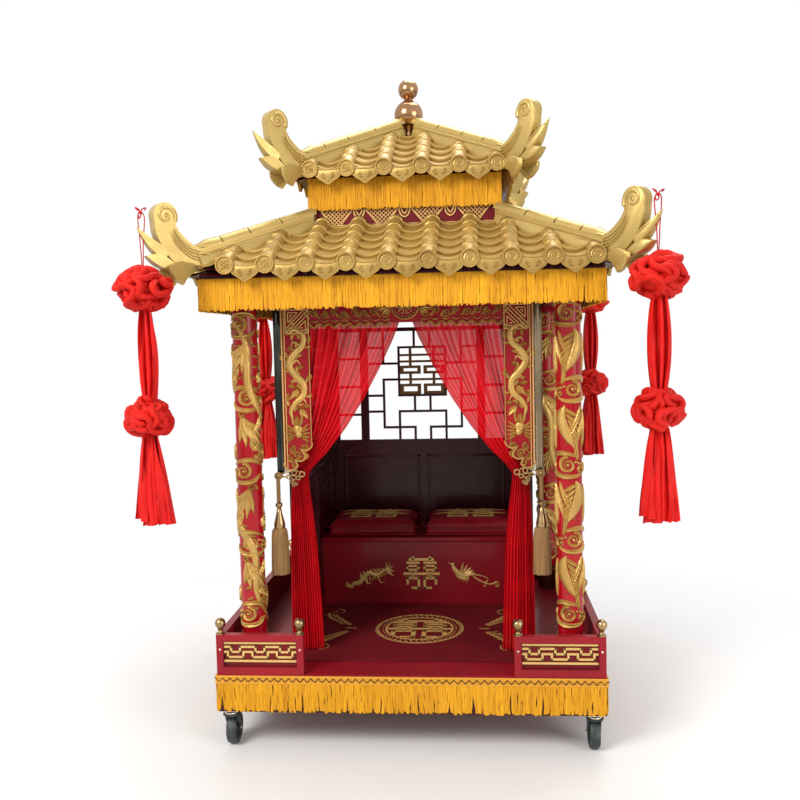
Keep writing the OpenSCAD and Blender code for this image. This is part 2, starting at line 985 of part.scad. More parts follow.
module wheel(x, y) {
    hub_w = 2 * (fork_gap - seat * 2);
    color("black")
        translate([x * caster_x, y * caster_y + caster_trail, wheel_r])
            rotate([0, 90, 0])
                difference() {
                    union() {
                        cylinder(h = wheel_w, r = wheel_r - 3, center = true);
                        cylinder(h = wheel_w - 8, r = wheel_r, center = true);
                        cylinder(h = hub_w, r = 13, center = true);
                    }
                    cylinder(h = hub_w + 2, r = axle_r + run_gap, center = true);
                }
}

// ---------- drawing ----------

deck_board();
skirt_boards();
deck_joists();
caster_blocks();
base_fringe();
front_rails();
side_rails();
rear_rail();
rail_frets();
post_finials();
column(-1, -1);  // column_front_left
column(1, -1);  // column_front_right
column(-1, 1);  // column_rear_left
column(1, 1);  // column_rear_right
column_rings();
carpet();
cabin_posts();
dragon_panel(-1);  // dragon_panel_left
dragon_panel(1);  // dragon_panel_right
edge_strips();
lintel();
corner_brackets();
back_panel();
back_lattice();
happiness_panel();
side_panels();
side_lattices();
bench_box();
bench_board();
cushion(-1);  // cushion_left
cushion(1);  // cushion_right
curtain(-1);  // curtain_left
curtain(1);  // curtain_right
holdbacks();
tassels();
eave_beams();
ceiling_board();
fascia_boards();
lower_fringe();
lower_roof();
lower_hips();
neck_walls();
neck_frets();
upper_board();
upper_fringe();
upper_roof();
upper_hips();
top_finial();
garlands();
caster_plates();
fork(-1, -1);  // fork_front_left
fork(1, -1);  // fork_front_right
fork(-1, 1);  // fork_rear_left
fork(1, 1);  // fork_rear_right
wheel(-1, -1);  // wheel_front_left
wheel(1, -1);  // wheel_front_right
wheel(-1, 1);  // wheel_rear_left
wheel(1, 1);  // wheel_rear_right
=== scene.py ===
"""Wheeled wedding palanquin.

A red and gold sedan chair on a low deck with four swivel casters: a curtained cabin with a
padded bench, four carved columns, a two-tier gilt tile roof, eave fringes, rosette garlands
and tasselled curtain hooks. Every sub-assembly is a class that reads its place from the
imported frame, builds its meshes and dresses them.
"""

import json
import logging
import math
import random
from dataclasses import dataclass, field
from enum import Enum
from typing import Callable, Sequence

import bmesh
import bpy
from mathutils import Matrix, Vector, bvhtree, noise


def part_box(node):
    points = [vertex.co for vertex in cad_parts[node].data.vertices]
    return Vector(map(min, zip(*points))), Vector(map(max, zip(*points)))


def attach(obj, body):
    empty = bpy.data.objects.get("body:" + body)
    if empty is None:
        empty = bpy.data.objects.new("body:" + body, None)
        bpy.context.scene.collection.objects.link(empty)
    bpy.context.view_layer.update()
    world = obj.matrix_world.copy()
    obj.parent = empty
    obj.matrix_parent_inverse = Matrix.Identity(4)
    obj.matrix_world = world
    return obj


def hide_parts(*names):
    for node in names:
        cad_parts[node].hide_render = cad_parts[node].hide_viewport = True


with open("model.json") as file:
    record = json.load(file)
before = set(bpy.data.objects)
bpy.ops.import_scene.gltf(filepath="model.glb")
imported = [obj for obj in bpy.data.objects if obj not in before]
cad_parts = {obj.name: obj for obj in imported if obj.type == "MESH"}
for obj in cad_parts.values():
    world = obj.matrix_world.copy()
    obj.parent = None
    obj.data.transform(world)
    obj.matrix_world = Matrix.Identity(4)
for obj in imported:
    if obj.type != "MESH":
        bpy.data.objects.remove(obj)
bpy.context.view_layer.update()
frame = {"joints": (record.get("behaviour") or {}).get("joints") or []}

log = logging.getLogger("palanquin")

Point = tuple[float, float]
Colour = tuple[float, float, float]
Mapper = Callable[[float, float, float], Vector]

TAU = 2 * math.pi
shifted = Matrix.Translation
WELD = 1e-5
SIDES = (-1, 1)
CORNERS = {"front_left": (-1, -1), "front_right": (1, -1), "rear_left": (-1, 1), "rear_right": (1, 1)}


# ---------- finishes ----------

class Shader:
    """A node material under construction, with a shader and helpers for its patterns."""

    def __init__(self, name: str) -> None:
        """Starts an empty material called name."""
        self.material = bpy.data.materials.new(name)
        self.material.use_nodes = True
        self.tree = self.material.node_tree
        self.tree.nodes.clear()
        self.out = self.tree.nodes.new("ShaderNodeOutputMaterial")
        self.skin = self.tree.nodes.new("ShaderNodeBsdfPrincipled")
        self.link(self.skin.outputs["BSDF"], self.out.inputs["Surface"])
        self.place = self.tree.nodes.new("ShaderNodeTexCoord").outputs["Object"]

    def link(self, source: bpy.types.NodeSocket, target: bpy.types.NodeSocket) -> None:
        """Joins two sockets."""
        self.tree.links.new(source, target)

    def put(self, socket: bpy.types.NodeSocket, value: object) -> None:
        """Links a socket or sets its plain value."""
        if isinstance(value, bpy.types.NodeSocket):
            self.link(value, socket)
        elif value is not None:
            socket.default_value = value

    def settle(self, **values: float | tuple) -> None:
        """Sets constants on the shader's own sockets; underscores stand for spaces."""
        for name, value in values.items():
            self.skin.inputs[name.replace("_", " ")].default_value = value

    def stretched(self, scale: tuple[float, float, float], turn: Sequence[float] = (0, 0, 0)
                  ) -> bpy.types.NodeSocket:
        """Gives the piece's own coordinates, scaled along each axis and turned.

        Args:
            scale: Factor along X, Y and Z.
            turn: Rotation in radians.

        Returns:
            The mapped vector.
        """
        node = self.tree.nodes.new("ShaderNodeMapping")
        self.link(self.place, node.inputs["Vector"])
        node.inputs["Scale"].default_value = scale
        node.inputs["Rotation"].default_value = tuple(turn)
        return node.outputs["Vector"]

    def mottle(self, scale: float, detail: float = 3, vector: object = None, rough: float = 0.55
               ) -> bpy.types.NodeSocket:
        """Gives a soft noise between 0 and 1.

        Args:
            scale: Cells to a metre.
            detail: Octaves.
            vector: Coordinates to read, or None for the piece's own.
            rough: Weight of the finer octaves.

        Returns:
            The noise value.
        """
        node = self.tree.nodes.new("ShaderNodeTexNoise")
        self.put(node.inputs["Vector"], vector or self.place)
        node.inputs["Scale"].default_value = scale
        node.inputs["Detail"].default_value = detail
        node.inputs["Roughness"].default_value = rough
        return node.outputs["Fac"]

    def cells(self, scale: float, vector: object = None, kind: str = "F1", spread: float = 1.0
              ) -> bpy.types.NodeSocket:
        """Gives the distance to the nearest of scattered points.

        Args:
            scale: Cells to a metre.
            vector: Coordinates to read, or None for the piece's own.
            kind: Voronoi feature.
            spread: Irregularity, 0 for a regular grid.

        Returns:
            The distance.
        """
        node = self.tree.nodes.new("ShaderNodeTexVoronoi")
        node.feature = kind
        self.put(node.inputs["Vector"], vector or self.place)
        node.inputs["Scale"].default_value = scale
        node.inputs["Randomness"].default_value = spread
        return node.outputs["Distance"]

    def waves(self, scale: float, axis: str, vector: object = None, wobble: float = 0.0
              ) -> bpy.types.NodeSocket:
        """Gives straight bands across an axis.

        Args:
            scale: Bands to about a third of a metre.
            axis: X, Y or Z.
            vector: Coordinates to read, or None for the piece's own.
            wobble: Distortion of the bands.

        Returns:
            The band value.
        """
        node = self.tree.nodes.new("ShaderNodeTexWave")
        node.bands_direction = axis
        self.put(node.inputs["Vector"], vector or self.place)
        node.inputs["Scale"].default_value = scale
        node.inputs["Distortion"].default_value = wobble
        return node.outputs["Fac"]

    def sum(self, op: str, a: object, b: object, clamp: bool = False) -> bpy.types.NodeSocket:
        """Gives a sum, product or other result of two values.

        Args:
            op: Math operation.
            a: First socket or number.
            b: Second socket or number.
            clamp: Whether the result is kept between 0 and 1.

        Returns:
            The result.
        """
        node = self.tree.nodes.new("ShaderNodeMath")
        node.operation = op
        node.use_clamp = clamp
        self.put(node.inputs[0], a)
        self.put(node.inputs[1], b)
        return node.outputs["Value"]

    def span(self, value: object, low: float, high: float, to_low: float = 0.0, to_high: float = 1.0
             ) -> bpy.types.NodeSocket:
        """Maps a value from one range to another and holds it there.

        Args:
            value: The socket read.
            low: Value that gives to_low.
            high: Value that gives to_high.
            to_low: Result at low.
            to_high: Result at high.

        Returns:
            The mapped value.
        """
        node = self.tree.nodes.new("ShaderNodeMapRange")
        self.put(node.inputs["Value"], value)
        for name, number in (("From Min", low), ("From Max", high), ("To Min", to_low), ("To Max", to_high)):
            node.inputs[name].default_value = number
        return node.outputs["Result"]

    def blend(self, share: object, a: object, b: object) -> bpy.types.NodeSocket:
        """Mixes two colours.

        Args:
            share: How much of b shows.
            a: Colour or socket at 0.
            b: Colour or socket at 1.

        Returns:
            The mixed colour.
        """
        node = self.tree.nodes.new("ShaderNodeMix")
        node.data_type = "RGBA"
        self.put(node.inputs["Factor"], share)
        for index, colour in ((6, a), (7, b)):
            self.put(node.inputs[index],
                     colour if isinstance(colour, bpy.types.NodeSocket) else (*colour, 1.0))
        return node.outputs[2]

    def paint(self, colour: object) -> None:
        """Gives the shader its colour."""
        self.put(self.skin.inputs["Base Color"], colour)

    def gloss(self, value: object) -> None:
        """Gives the shader its roughness."""
        self.put(self.skin.inputs["Roughness"], value)

    def emboss(self, height: object, depth: float, strength: float = 0.6) -> None:
        """Gives the shader a bump.

        Args:
            height: The relief's value.
            depth: Its depth in metres.
            strength: How much of it shows.
        """
        node = self.tree.nodes.new("ShaderNodeBump")
        node.inputs["Strength"].default_value = strength
        node.inputs["Distance"].default_value = depth
        self.put(node.inputs["Height"], height)
        self.link(node.outputs["Normal"], self.skin.inputs["Normal"])


class Finish:
    """A finish that is mixed once and shared by the pieces that wear it."""

    _mixed: dict[str, bpy.types.Material] = {}

    @property
    def key(self) -> str:
        """Name under which the finish is kept."""
        return f"{type(self).__name__}_{getattr(self, 'name', '')}"

    def material(self) -> bpy.types.Material:
        """Gives the finish's material, mixed on first use."""
        if self.key not in Finish._mixed:
            shader = Shader(self.key)
            self.mix(shader)
            Finish._mixed[self.key] = shader.material
        return Finish._mixed[self.key]

    def mix(self, s: Shader) -> None:
        """Builds the finish in a shader."""
        raise NotImplementedError


@dataclass(frozen=True)
class Lacquer(Finish):
    """Sprayed lacquer on board: faint orange peel, cloudy tone and a clear gloss.

    Attributes:
        name: Name of the finish.
        colour: Main tone.
        deep: Tone of the cloudy patches.
        rough: Mean roughness.
        coat: Weight of the clear gloss.
    """

    name: str
    colour: Colour
    deep: Colour
    rough: float = 0.35
    coat: float = 0.1

    def mix(self, s: Shader) -> None:
        """Mixes clouds, dust in the gloss and orange peel."""
        clouds = s.span(s.mottle(2.6, 4), 0.32, 0.68)
        s.paint(s.blend(clouds, self.deep, self.colour))
        dust = s.span(s.mottle(26, 5), 0.3, 0.75, self.rough * 0.8, self.rough * 1.25)
        s.gloss(dust)
        s.emboss(s.mottle(190, 2), 0.0004, 0.3)
        s.settle(Coat_Weight=self.coat, Coat_Roughness=0.08, Specular_IOR_Level=0.2)


@dataclass(frozen=True)
class Gilding(Finish):
    """Gold or bronze paint on a moulded or carved surface, with random darker patches in a shaded tone:
    painted shade.

    Attributes:
        name: Name of the finish.
        colour: Tone of the gilding.
        shade: Tone of the gilding in shade, painted into the darker patches.
        metal: Share that behaves as metal.
        rough: Mean roughness.
        grain: Depth of the fine grain, in metres.
        scales: Whether the skin carries a fine scale pattern.
    """

    name: str
    colour: Colour
    shade: Colour
    metal: float = 0.6
    rough: float = 0.42
    grain: float = 0.0003
    scales: bool = False

    def mix(self, s: Shader) -> None:
        """Mixes patches, flecks and grain."""
        # Random patches blend the shaded tone into the gilding's colour: painted shade.
        patches = s.span(s.mottle(7, 6, rough=0.65), 0.3, 0.72)
        flecks = s.span(s.mottle(240, 2), 0.35, 0.75)
        s.paint(s.blend(s.sum("MULTIPLY", patches, s.sum("ADD", s.sum("MULTIPLY", flecks, 0.35), 0.65)),
                        self.shade, self.colour))
        s.gloss(s.span(patches, 0, 1, self.rough * 1.2, self.rough * 0.85))
        height = s.mottle(320, 2)
        if self.scales:
            height = s.sum("ADD", s.sum("MULTIPLY", s.cells(170, spread=0.35), 3.2), height)
        s.emboss(height, self.grain, 0.5)
        s.settle(Metallic=self.metal)


@dataclass(frozen=True)
class Polished(Finish):
    """Polished metal with fine wiping marks.

    Attributes:
        name: Name of the finish.
        colour: Bright tone.
        stain: Tone of the tarnish.
        rough: Lowest roughness.
        tarnish: Highest roughness.
    """

    name: str
    colour: Colour
    stain: Colour
    rough: float = 0.1
    tarnish: float = 0.28

    def mix(self, s: Shader) -> None:
        """Mixes the tarnish and the wiping marks."""
        cloud = s.span(s.mottle(9, 5), 0.4, 0.75)
        s.paint(s.blend(cloud, self.colour, self.stain))
        marks = s.mottle(90, 3, s.stretched((1, 1, 6)))
        s.gloss(s.span(s.sum("ADD", s.sum("MULTIPLY", cloud, 0.7), s.sum("MULTIPLY", marks, 0.3)),
                       0.1, 0.9, self.rough, self.tarnish))
        s.emboss(marks, 0.0001, 0.12)
        s.settle(Metallic=1.0)


@dataclass(frozen=True)
class Timber(Finish):
    """Sawn softwood under the deck.

    Attributes:
        name: Name of the finish.
        colour: Early wood.
        ring: Late wood.
    """

    name: str
    colour: Colour
    ring: Colour

    def mix(self, s: Shader) -> None:
        """Mixes the grain."""
        grain = s.waves(9, "X", s.stretched((1, 0.06, 1)), 6)
        s.paint(s.blend(s.span(grain, 0.2, 0.9), self.ring, self.colour))
        s.gloss(s.span(s.mottle(60, 3), 0.2, 0.8, 0.6, 0.85))
        s.emboss(grain, 0.0006, 0.5)


@dataclass(frozen=True)
class Strands(Finish):
    """Rayon or silk strands that hang side by side.

    Attributes:
        name: Name of the finish.
        colour: Lit strand.
        shade: Strand in shade.
        pitch: Strands to a metre.
        sheen: Weight of the soft sheen.
    """

    name: str
    colour: Colour
    shade: Colour
    pitch: float = 260
    sheen: float = 0.3

    def mix(self, s: Shader) -> None:
        """Mixes thread-to-thread tone and twist."""
        thread = s.mottle(1, 2, s.stretched((self.pitch, self.pitch, 4)))
        broad = s.mottle(1, 2, s.stretched((26, 26, 1.5)))
        tone = s.sum("ADD", s.sum("MULTIPLY", thread, 0.6), s.sum("MULTIPLY", broad, 0.4))
        s.paint(s.blend(s.span(tone, 0.34, 0.66), self.shade, self.colour))
        s.gloss(s.span(thread, 0.2, 0.8, 0.5, 0.72))
        s.emboss(thread, 0.0008, 0.5)
        s.settle(Sheen_Weight=self.sheen, Sheen_Roughness=0.4, Specular_IOR_Level=0.2,
                 Sheen_Tint=(*self.colour, 1.0))


@dataclass(frozen=True)
class Cloth(Finish):
    """Woven or piled cloth.

    Attributes:
        name: Name of the finish.
        colour: Main tone.
        shade: Shaded copy of the main tone, painted into the darker patches.
        threads: Threads to a metre.
        rough: Mean roughness.
        sheen: Weight of the sheen.
        see_through: Share of light that the weave lets straight through.
        depth: Depth of the weave, in metres.
    """

    name: str
    colour: Colour
    shade: Colour
    threads: float = 900
    rough: float = 0.6
    sheen: float = 0.3
    see_through: float = 0.0
    depth: float = 0.0002

    def mix(self, s: Shader) -> None:
        """Mixes weave, soft shading and, on sheer cloth, its openness."""
        weave = s.sum("MULTIPLY", s.waves(self.threads / 6, "X", wobble=0.4),
                      s.waves(self.threads / 6, "Z", wobble=0.4))
        # The patches blend the shaded copy into the main tone: painted shade.
        patches = s.span(s.mottle(11, 4), 0.3, 0.7)
        tone = s.sum("ADD", s.sum("MULTIPLY", patches, 0.75), s.sum("MULTIPLY", weave, 0.25))
        s.paint(s.blend(tone, self.shade, self.colour))
        s.gloss(s.span(patches, 0, 1, self.rough * 0.9, min(1.0, self.rough * 1.1)))
        s.emboss(s.sum("ADD", weave, s.mottle(self.threads / 3, 2)), self.depth, 0.4)
        s.settle(Sheen_Weight=self.sheen, Sheen_Roughness=0.35, Specular_IOR_Level=0.2,
                 Sheen_Tint=(*self.colour, 1.0))
        if self.see_through:
            fold = s.tree.nodes.new("ShaderNodeAttribute")
            fold.attribute_name = "steep"
            share = s.sum("MULTIPLY", s.span(s.mottle(5, 3, s.stretched((3, 3, 0.6))), 0.3, 0.7, 1.1, 0.9),
                          s.span(fold.outputs["Fac"], 0.35, 0.95, self.see_through, self.see_through * 0.15))
            s.put(s.skin.inputs["Alpha"], s.sum("SUBTRACT", 1.0, share, True))
            s.material.surface_render_method = "BLENDED"


@dataclass(frozen=True)
class Braid(Finish):
    """Braid at the head of the deck fringe: close cords crossed by a thin dark zigzag.

    Attributes:
        name: Name of the finish.
        colour: The cords.
        shade: Between the cords.
    """

    name: str
    colour: Colour
    shade: Colour

    def mix(self, s: Shader) -> None:
        """Mixes the cords of the braid."""
        cords = s.waves(95, "DIAGONAL")
        s.paint(s.blend(s.span(cords, 0.1, 0.6), self.shade, self.colour))
        s.gloss(s.span(s.mottle(80, 2), 0.2, 0.8, 0.5, 0.7))
        s.emboss(cords, 0.0008, 0.6)
        s.settle(Sheen_Weight=0.25, Sheen_Roughness=0.4)


@dataclass(frozen=True)
class Rubber(Finish):
    """Moulded tyre or painted caster steel.

    Attributes:
        name: Name of the finish.
        colour: Clean tone.
        dust: Tone of the dust on it.
        rough: Mean roughness.
        metal: Share that behaves as metal.
    """

    name: str
    colour: Colour
    dust: Colour
    rough: float = 0.5
    metal: float = 0.0

    def mix(self, s: Shader) -> None:
        """Mixes scuffs and dust."""
        scuff = s.span(s.mottle(42, 5, rough=0.7), 0.48, 0.75)
        s.paint(s.blend(scuff, self.colour, self.dust))
        s.gloss(s.span(scuff, 0, 1, self.rough, min(1.0, self.rough + 0.25)))
        s.emboss(s.mottle(260, 3), 0.0003, 0.4)
        s.settle(Metallic=self.metal)


RED_BOARD = Lacquer("red_board", (0.29, 0.006, 0.014), (0.21, 0.004, 0.010), 0.40, 0.12)
RED_FRONT = Lacquer("red_front", (0.33, 0.005, 0.011), (0.25, 0.003, 0.008), 0.42, 0.05)
DARK_BOARD = Lacquer("dark_board", (0.060, 0.003, 0.007), (0.035, 0.002, 0.004), 0.30, 0.12)
COLUMN_RED = Lacquer("column_red", (0.41, 0.004, 0.011), (0.32, 0.003, 0.008), 0.26, 0.25)
FOOT_BROWN = Lacquer("foot_brown", (0.17, 0.040, 0.02), (0.10, 0.025, 0.012), 0.3, 0.3)
# Darker red for the sunk panel grounds, the neck walls and the upper board: painted shade of these recesses.
SHADED_RECESS_RED = Lacquer("recess_red_painted_shade", (0.16, 0.004, 0.008), (0.10, 0.003, 0.006), 0.5, 0.04)
SAWN = Timber("sawn", (0.46, 0.30, 0.17), (0.33, 0.19, 0.09))
ROOF_GILT = Gilding("roof_gilt", (0.52, 0.350, 0.095), (0.33, 0.200, 0.048), 0.5, 0.36, 0.0004)
HIP_GILT = Gilding("hip_gilt", (0.56, 0.405, 0.13), (0.42, 0.285, 0.08), 0.5, 0.32, 0.00012)
CARVED_GOLD = Gilding("carved_gold", (0.66, 0.42, 0.115), (0.40, 0.225, 0.050), 0.45, 0.34, 0.0005, True)
FRET_GOLD = Gilding("fret_gold", (0.76, 0.51, 0.17), (0.56, 0.36, 0.11), 0.35, 0.38)
DULL_GOLD = Gilding("dull_gold", (0.42, 0.29, 0.12), (0.26, 0.17, 0.06), 0.7, 0.38)
THREAD_GOLD = Gilding("thread_gold", (0.74, 0.48, 0.15), (0.56, 0.34, 0.09), 0.15, 0.5, 0.0005)
BRONZE_PAINT = Gilding("bronze_paint", (0.24, 0.11, 0.025), (0.16, 0.07, 0.015), 0.3, 0.45)
OLD_BRASS = Polished("old_brass", (0.40, 0.27, 0.13), (0.20, 0.13, 0.06), 0.2, 0.4)
BRONZE = Polished("bronze", (0.44, 0.245, 0.125), (0.30, 0.155, 0.07), 0.13, 0.26)
# Near-black polished metal for the left edge bar; its dark colour paints in the reflection seen in the bar:
# painted reflection.
DARK_REFLECTION_BAR = Polished("mirror", (0.055, 0.055, 0.050), (0.03, 0.03, 0.026), 0.06, 0.18)
BRASS_BAR = Polished("brass_bar", (0.34, 0.26, 0.16), (0.20, 0.15, 0.09), 0.2, 0.36)
ZINC = Polished("zinc", (0.66, 0.61, 0.50), (0.48, 0.42, 0.32), 0.25, 0.45)
FRINGE_GOLD = Strands("fringe", (0.76, 0.365, 0.012), (0.46, 0.190, 0.005), 210, 0.12)
TASSEL_SILK = Strands("tassel", (0.36, 0.205, 0.080), (0.17, 0.085, 0.030), 300, 0.1)
BRAID_GOLD = Braid("braid", (0.80, 0.38, 0.012), (0.46, 0.18, 0.006))
ZIGZAG = Cloth("zigzag", (0.09, 0.035, 0.012), (0.05, 0.02, 0.008), 500, 0.7, 0.1)
CARPET_RED = Cloth("carpet", (0.165, 0.003, 0.008), (0.105, 0.002, 0.005), 420, 0.9, 0.2, 0.0, 0.0008)
SATIN_RED = Cloth("satin", (0.27, 0.004, 0.012), (0.19, 0.003, 0.008), 900, 0.4, 0.25)
CHIFFON = Cloth("chiffon", (0.70, 0.004, 0.012), (0.54, 0.003, 0.009), 700, 0.5, 0.12, 0.085)
# Near-black cloth for the sheets inside the cabin that stand for its shade: painted shade.
SHADE_SHEET = Cloth("painted_shade_sheet", (0.13, 0.002, 0.006), (0.08, 0.001, 0.004), 700, 0.6, 0.2)
ROSETTE_RED = Cloth("rosette", (0.70, 0.015, 0.007), (0.46, 0.006, 0.004), 800, 0.6, 0.06)
RIBBON_RED = Cloth("ribbon", (0.70, 0.012, 0.008), (0.54, 0.006, 0.006), 700, 0.55, 0.08, 0.0)
CORD_RED = Cloth("cord", (0.50, 0.006, 0.014), (0.34, 0.004, 0.010), 900, 0.6, 0.3)
TYRE = Rubber("tyre", (0.018, 0.026, 0.028), (0.10, 0.10, 0.09), 0.5)
CASTER_STEEL = Rubber("caster_steel", (0.03, 0.045, 0.045), (0.12, 0.11, 0.09), 0.35, 0.5)


# ---------- modelling ----------

class Shape:
    """A mesh under construction that gathers modelled parts."""

    def __init__(self) -> None:
        """Starts an empty shape."""
        self.bm = bmesh.new()

    def take(self, part: bmesh.types.BMesh, place: Matrix | None = None, finish: int = 0) -> "Shape":
        """Adds a modelled part and frees it.

        Args:
            part: The part.
            place: Where it goes, or None to leave it.
            finish: Index of its finish on the piece.

        Returns:
            The shape itself.
        """
        if place is not None:
            part.transform(place)
        if finish:
            for face in part.faces:
                face.material_index = finish
        mesh = bpy.data.meshes.new("part")
        part.to_mesh(mesh)
        part.free()
        self.bm.from_mesh(mesh)
        bpy.data.meshes.remove(mesh)
        return self

    def stamp(self, pattern: bpy.types.Mesh, place: Matrix) -> None:
        """Adds one more copy of a kept pattern mesh at a place."""
        copy = pattern.copy()
        copy.transform(place)
        self.bm.from_mesh(copy)
        bpy.data.meshes.remove(copy)


def placed(name: str, data: bpy.types.ID) -> bpy.types.Object:
    """Puts data into the scene as an object called name."""
    obj = bpy.data.objects.new(name, data)
    bpy.context.scene.collection.objects.link(obj)
    return obj


def kept(part: bmesh.types.BMesh) -> bpy.types.Mesh:
    """Turns a modelled part into a mesh that stamp can repeat."""
    mesh = bpy.data.meshes.new("pattern")
    part.to_mesh(mesh)
    part.free()
    return mesh


def piece(name: str, shape: Shape | bmesh.types.BMesh, finishes: Sequence[Finish],
          body: str = "root", replaces: Sequence[str] = (), crease: float = 35.0,
          weld: float = WELD) -> bpy.types.Object:
    """Makes a finished piece of the palanquin.

    Args:
        name: The piece's name.
        shape: Its modelled shape.
        finishes: Its finishes, by index.
        body: The body it rides on.
        replaces: Nodes that it stands for.
        crease: Angle in degrees above which an edge stays sharp.
        weld: Distance below which points are one.

    Returns:
        The piece's object.
    """
    bm = shape.bm if isinstance(shape, Shape) else shape
    if weld:
        bmesh.ops.remove_doubles(bm, verts=bm.verts, dist=weld)
    bmesh.ops.recalc_face_normals(bm, faces=bm.faces)
    limit = math.radians(crease)
    for edge in bm.edges:
        edge.smooth = len(edge.link_faces) == 2 and edge.calc_face_angle(0) < limit
    for face in bm.faces:
        face.smooth = True
    mesh = bpy.data.meshes.new(name)
    bm.to_mesh(mesh)
    bm.free()
    obj = placed(name, mesh)
    for finish in finishes:
        mesh.materials.append(finish.material())
    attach(obj, body)
    if replaces:
        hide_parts(*replaces)
    log.info("%s: %d faces", name, len(mesh.polygons))
    return obj


def dress(finish: Finish, *nodes: str) -> None:
    """Gives the nodes that keep their shape their finish."""
    for node in nodes:
        obj = bpy.data.objects[node]
        if not obj.material_slots:
            obj.data.materials.append(None)
        for slot in obj.material_slots:
            slot.material = finish.material()


def block(lo: Sequence[float], hi: Sequence[float], bevel: float = 0.0, steps: int = 2
          ) -> bmesh.types.BMesh:
    """Models a block with eased edges.

    Args:
        lo: Low corner.
        hi: High corner.
        bevel: Width of the eased edges.
        steps: Segments of each eased edge.

    Returns:
        The block.
    """
    bm = bmesh.new()
    lo, hi = Vector(lo), Vector(hi)
    bmesh.ops.create_cube(bm, size=1, matrix=shifted((lo + hi) / 2) @ Matrix.Diagonal((*(hi - lo), 1)))
    if bevel:
        bmesh.ops.bevel(bm, geom=bm.edges[:], offset=bevel, segments=steps, affect="EDGES", profile=0.5,
                        material=-1)
    return bm


def turned(profile: Sequence[Point], steps: int = 32) -> bmesh.types.BMesh:
    """Spins a profile of (radius, height) points round the vertical axis.

    Args:
        profile: The profile from one end to the other.
        steps: Facets round the axis.

    Returns:
        The turned shape.
    """
    bm = bmesh.new()
    verts = [bm.verts.new((r, 0, z)) for r, z in profile]
    edges = [bm.edges.new(pair) for pair in zip(verts, verts[1:])]
    bmesh.ops.spin(bm, geom=verts + edges, cent=(0, 0, 0), axis=(0, 0, 1), angle=TAU, steps=steps,
                   use_merge=True)
    bmesh.ops.remove_doubles(bm, verts=bm.verts, dist=1e-6)
    bmesh.ops.recalc_face_normals(bm, faces=bm.faces)
    return bm


def cut_out(outline: Sequence[Point], thick: float, bevel: float = 0.0, steps: int = 2,
            holes: Sequence[Sequence[Point]] = ()) -> bmesh.types.BMesh:
    """Extrudes an outline in the XZ plane towards -Y and eases its front edges.

    Args:
        outline: Points (x, z) round the shape.
        thick: Thickness; the back lies at y = 0.
        bevel: Width of the eased front edges.
        steps: Segments of the easing.
        holes: Outlines of openings.

    Returns:
        The panel.
    """
    bm = bmesh.new()
    edges = []
    for ring in (outline, *holes):
        verts = [bm.verts.new((x, 0, z)) for x, z in ring]
        edges += [bm.edges.new((verts[i - 1], verts[i])) for i in range(len(verts))]
    bmesh.ops.triangle_fill(bm, edges=edges, use_beauty=True, use_dissolve=True)
    bmesh.ops.recalc_face_normals(bm, faces=bm.faces)
    front = bmesh.ops.extrude_face_region(bm, geom=bm.faces[:])["geom"]
    moved = [g for g in front if isinstance(g, bmesh.types.BMVert)]
    bmesh.ops.translate(bm, verts=moved, vec=(0, -thick, 0))
    bmesh.ops.recalc_face_normals(bm, faces=bm.faces)
    if bevel:
        rim = [e for e in bm.edges if len(e.link_faces) == 2 and all(v.co.y < -thick * 0.5 for v in e.verts)
               and e.calc_face_angle(0) > 0.5]
        bmesh.ops.bevel(bm, geom=rim, offset=bevel, segments=steps, affect="EDGES", profile=0.5, material=-1)
    return bm


def lofted(rings: Sequence[Sequence[Vector]], closed: bool = True, caps: bool = True) -> bmesh.types.BMesh:
    """Draws a skin over rings of equally many points.

    Args:
        rings: The rings, in order.
        closed: Whether each ring is a closed loop.
        caps: Whether the ends are closed.

    Returns:
        The skin.
    """
    bm = bmesh.new()
    across = len(rings[0]) + (1 if closed else 0)
    bmesh.ops.create_grid(bm, x_segments=across - 1, y_segments=len(rings) - 1, size=1)
    bm.verts.ensure_lookup_table()
    for j, ring in enumerate(rings):
        for i in range(across):
            bm.verts[j * across + i].co = ring[i % len(ring)]
    if closed:
        bmesh.ops.remove_doubles(bm, verts=bm.verts, dist=1e-7)
        if caps:
            rim = [e for e in bm.edges if e.is_boundary]
            bmesh.ops.holes_fill(bm, edges=rim, sides=0)
        bmesh.ops.recalc_face_normals(bm, faces=bm.faces)
    return bm


def tube(path: Sequence[Vector], radius: float | Callable[[float], float], facets: int = 8,
         squash: float = 1.0) -> bmesh.types.BMesh:
    """Draws a round bar along a path.

    Args:
        path: Points along its axis.
        radius: Its radius, or a function of the share of its length.
        facets: Facets round it.
        squash: Height of its section over its width.

    Returns:
        The bar.
    """
    rings = []
    side = None
    for i, point in enumerate(path):
        along = (path[min(i + 1, len(path) - 1)] - path[max(i - 1, 0)]).normalized()
        if side is None:
            side = along.orthogonal().normalized()
        side = (side - along * side.dot(along)).normalized()
        up = along.cross(side)
        r = radius(i / (len(path) - 1)) if callable(radius) else radius
        turns = [TAU * k / facets for k in range(facets)]
        rings.append([point + (side * math.cos(a) + up * squash * math.sin(a)) * r for a in turns])
    return lofted(rings)


def smoothed(points: Sequence[Sequence[float]], per_span: int = 6) -> list[Vector]:
    """Gives a smooth curve through points.

    Args:
        points: Points the curve passes.
        per_span: Samples between two of them.

    Returns:
        The samples.
    """
    pts = [Vector((*p, 0)[:3]) for p in points]
    ends = [2 * pts[0] - pts[1], *pts, 2 * pts[-1] - pts[-2]]
    curve = []
    for a, b, c, d in zip(ends, ends[1:], ends[2:], ends[3:]):
        for k in range(per_span):
            t = k / per_span
            curve.append(0.5 * ((2 * b) + (c - a) * t + (2 * a - 5 * b + 4 * c - d) * t * t
                                + (3 * b - 3 * c + d - a) * t ** 3))
    return curve + [pts[-1]]


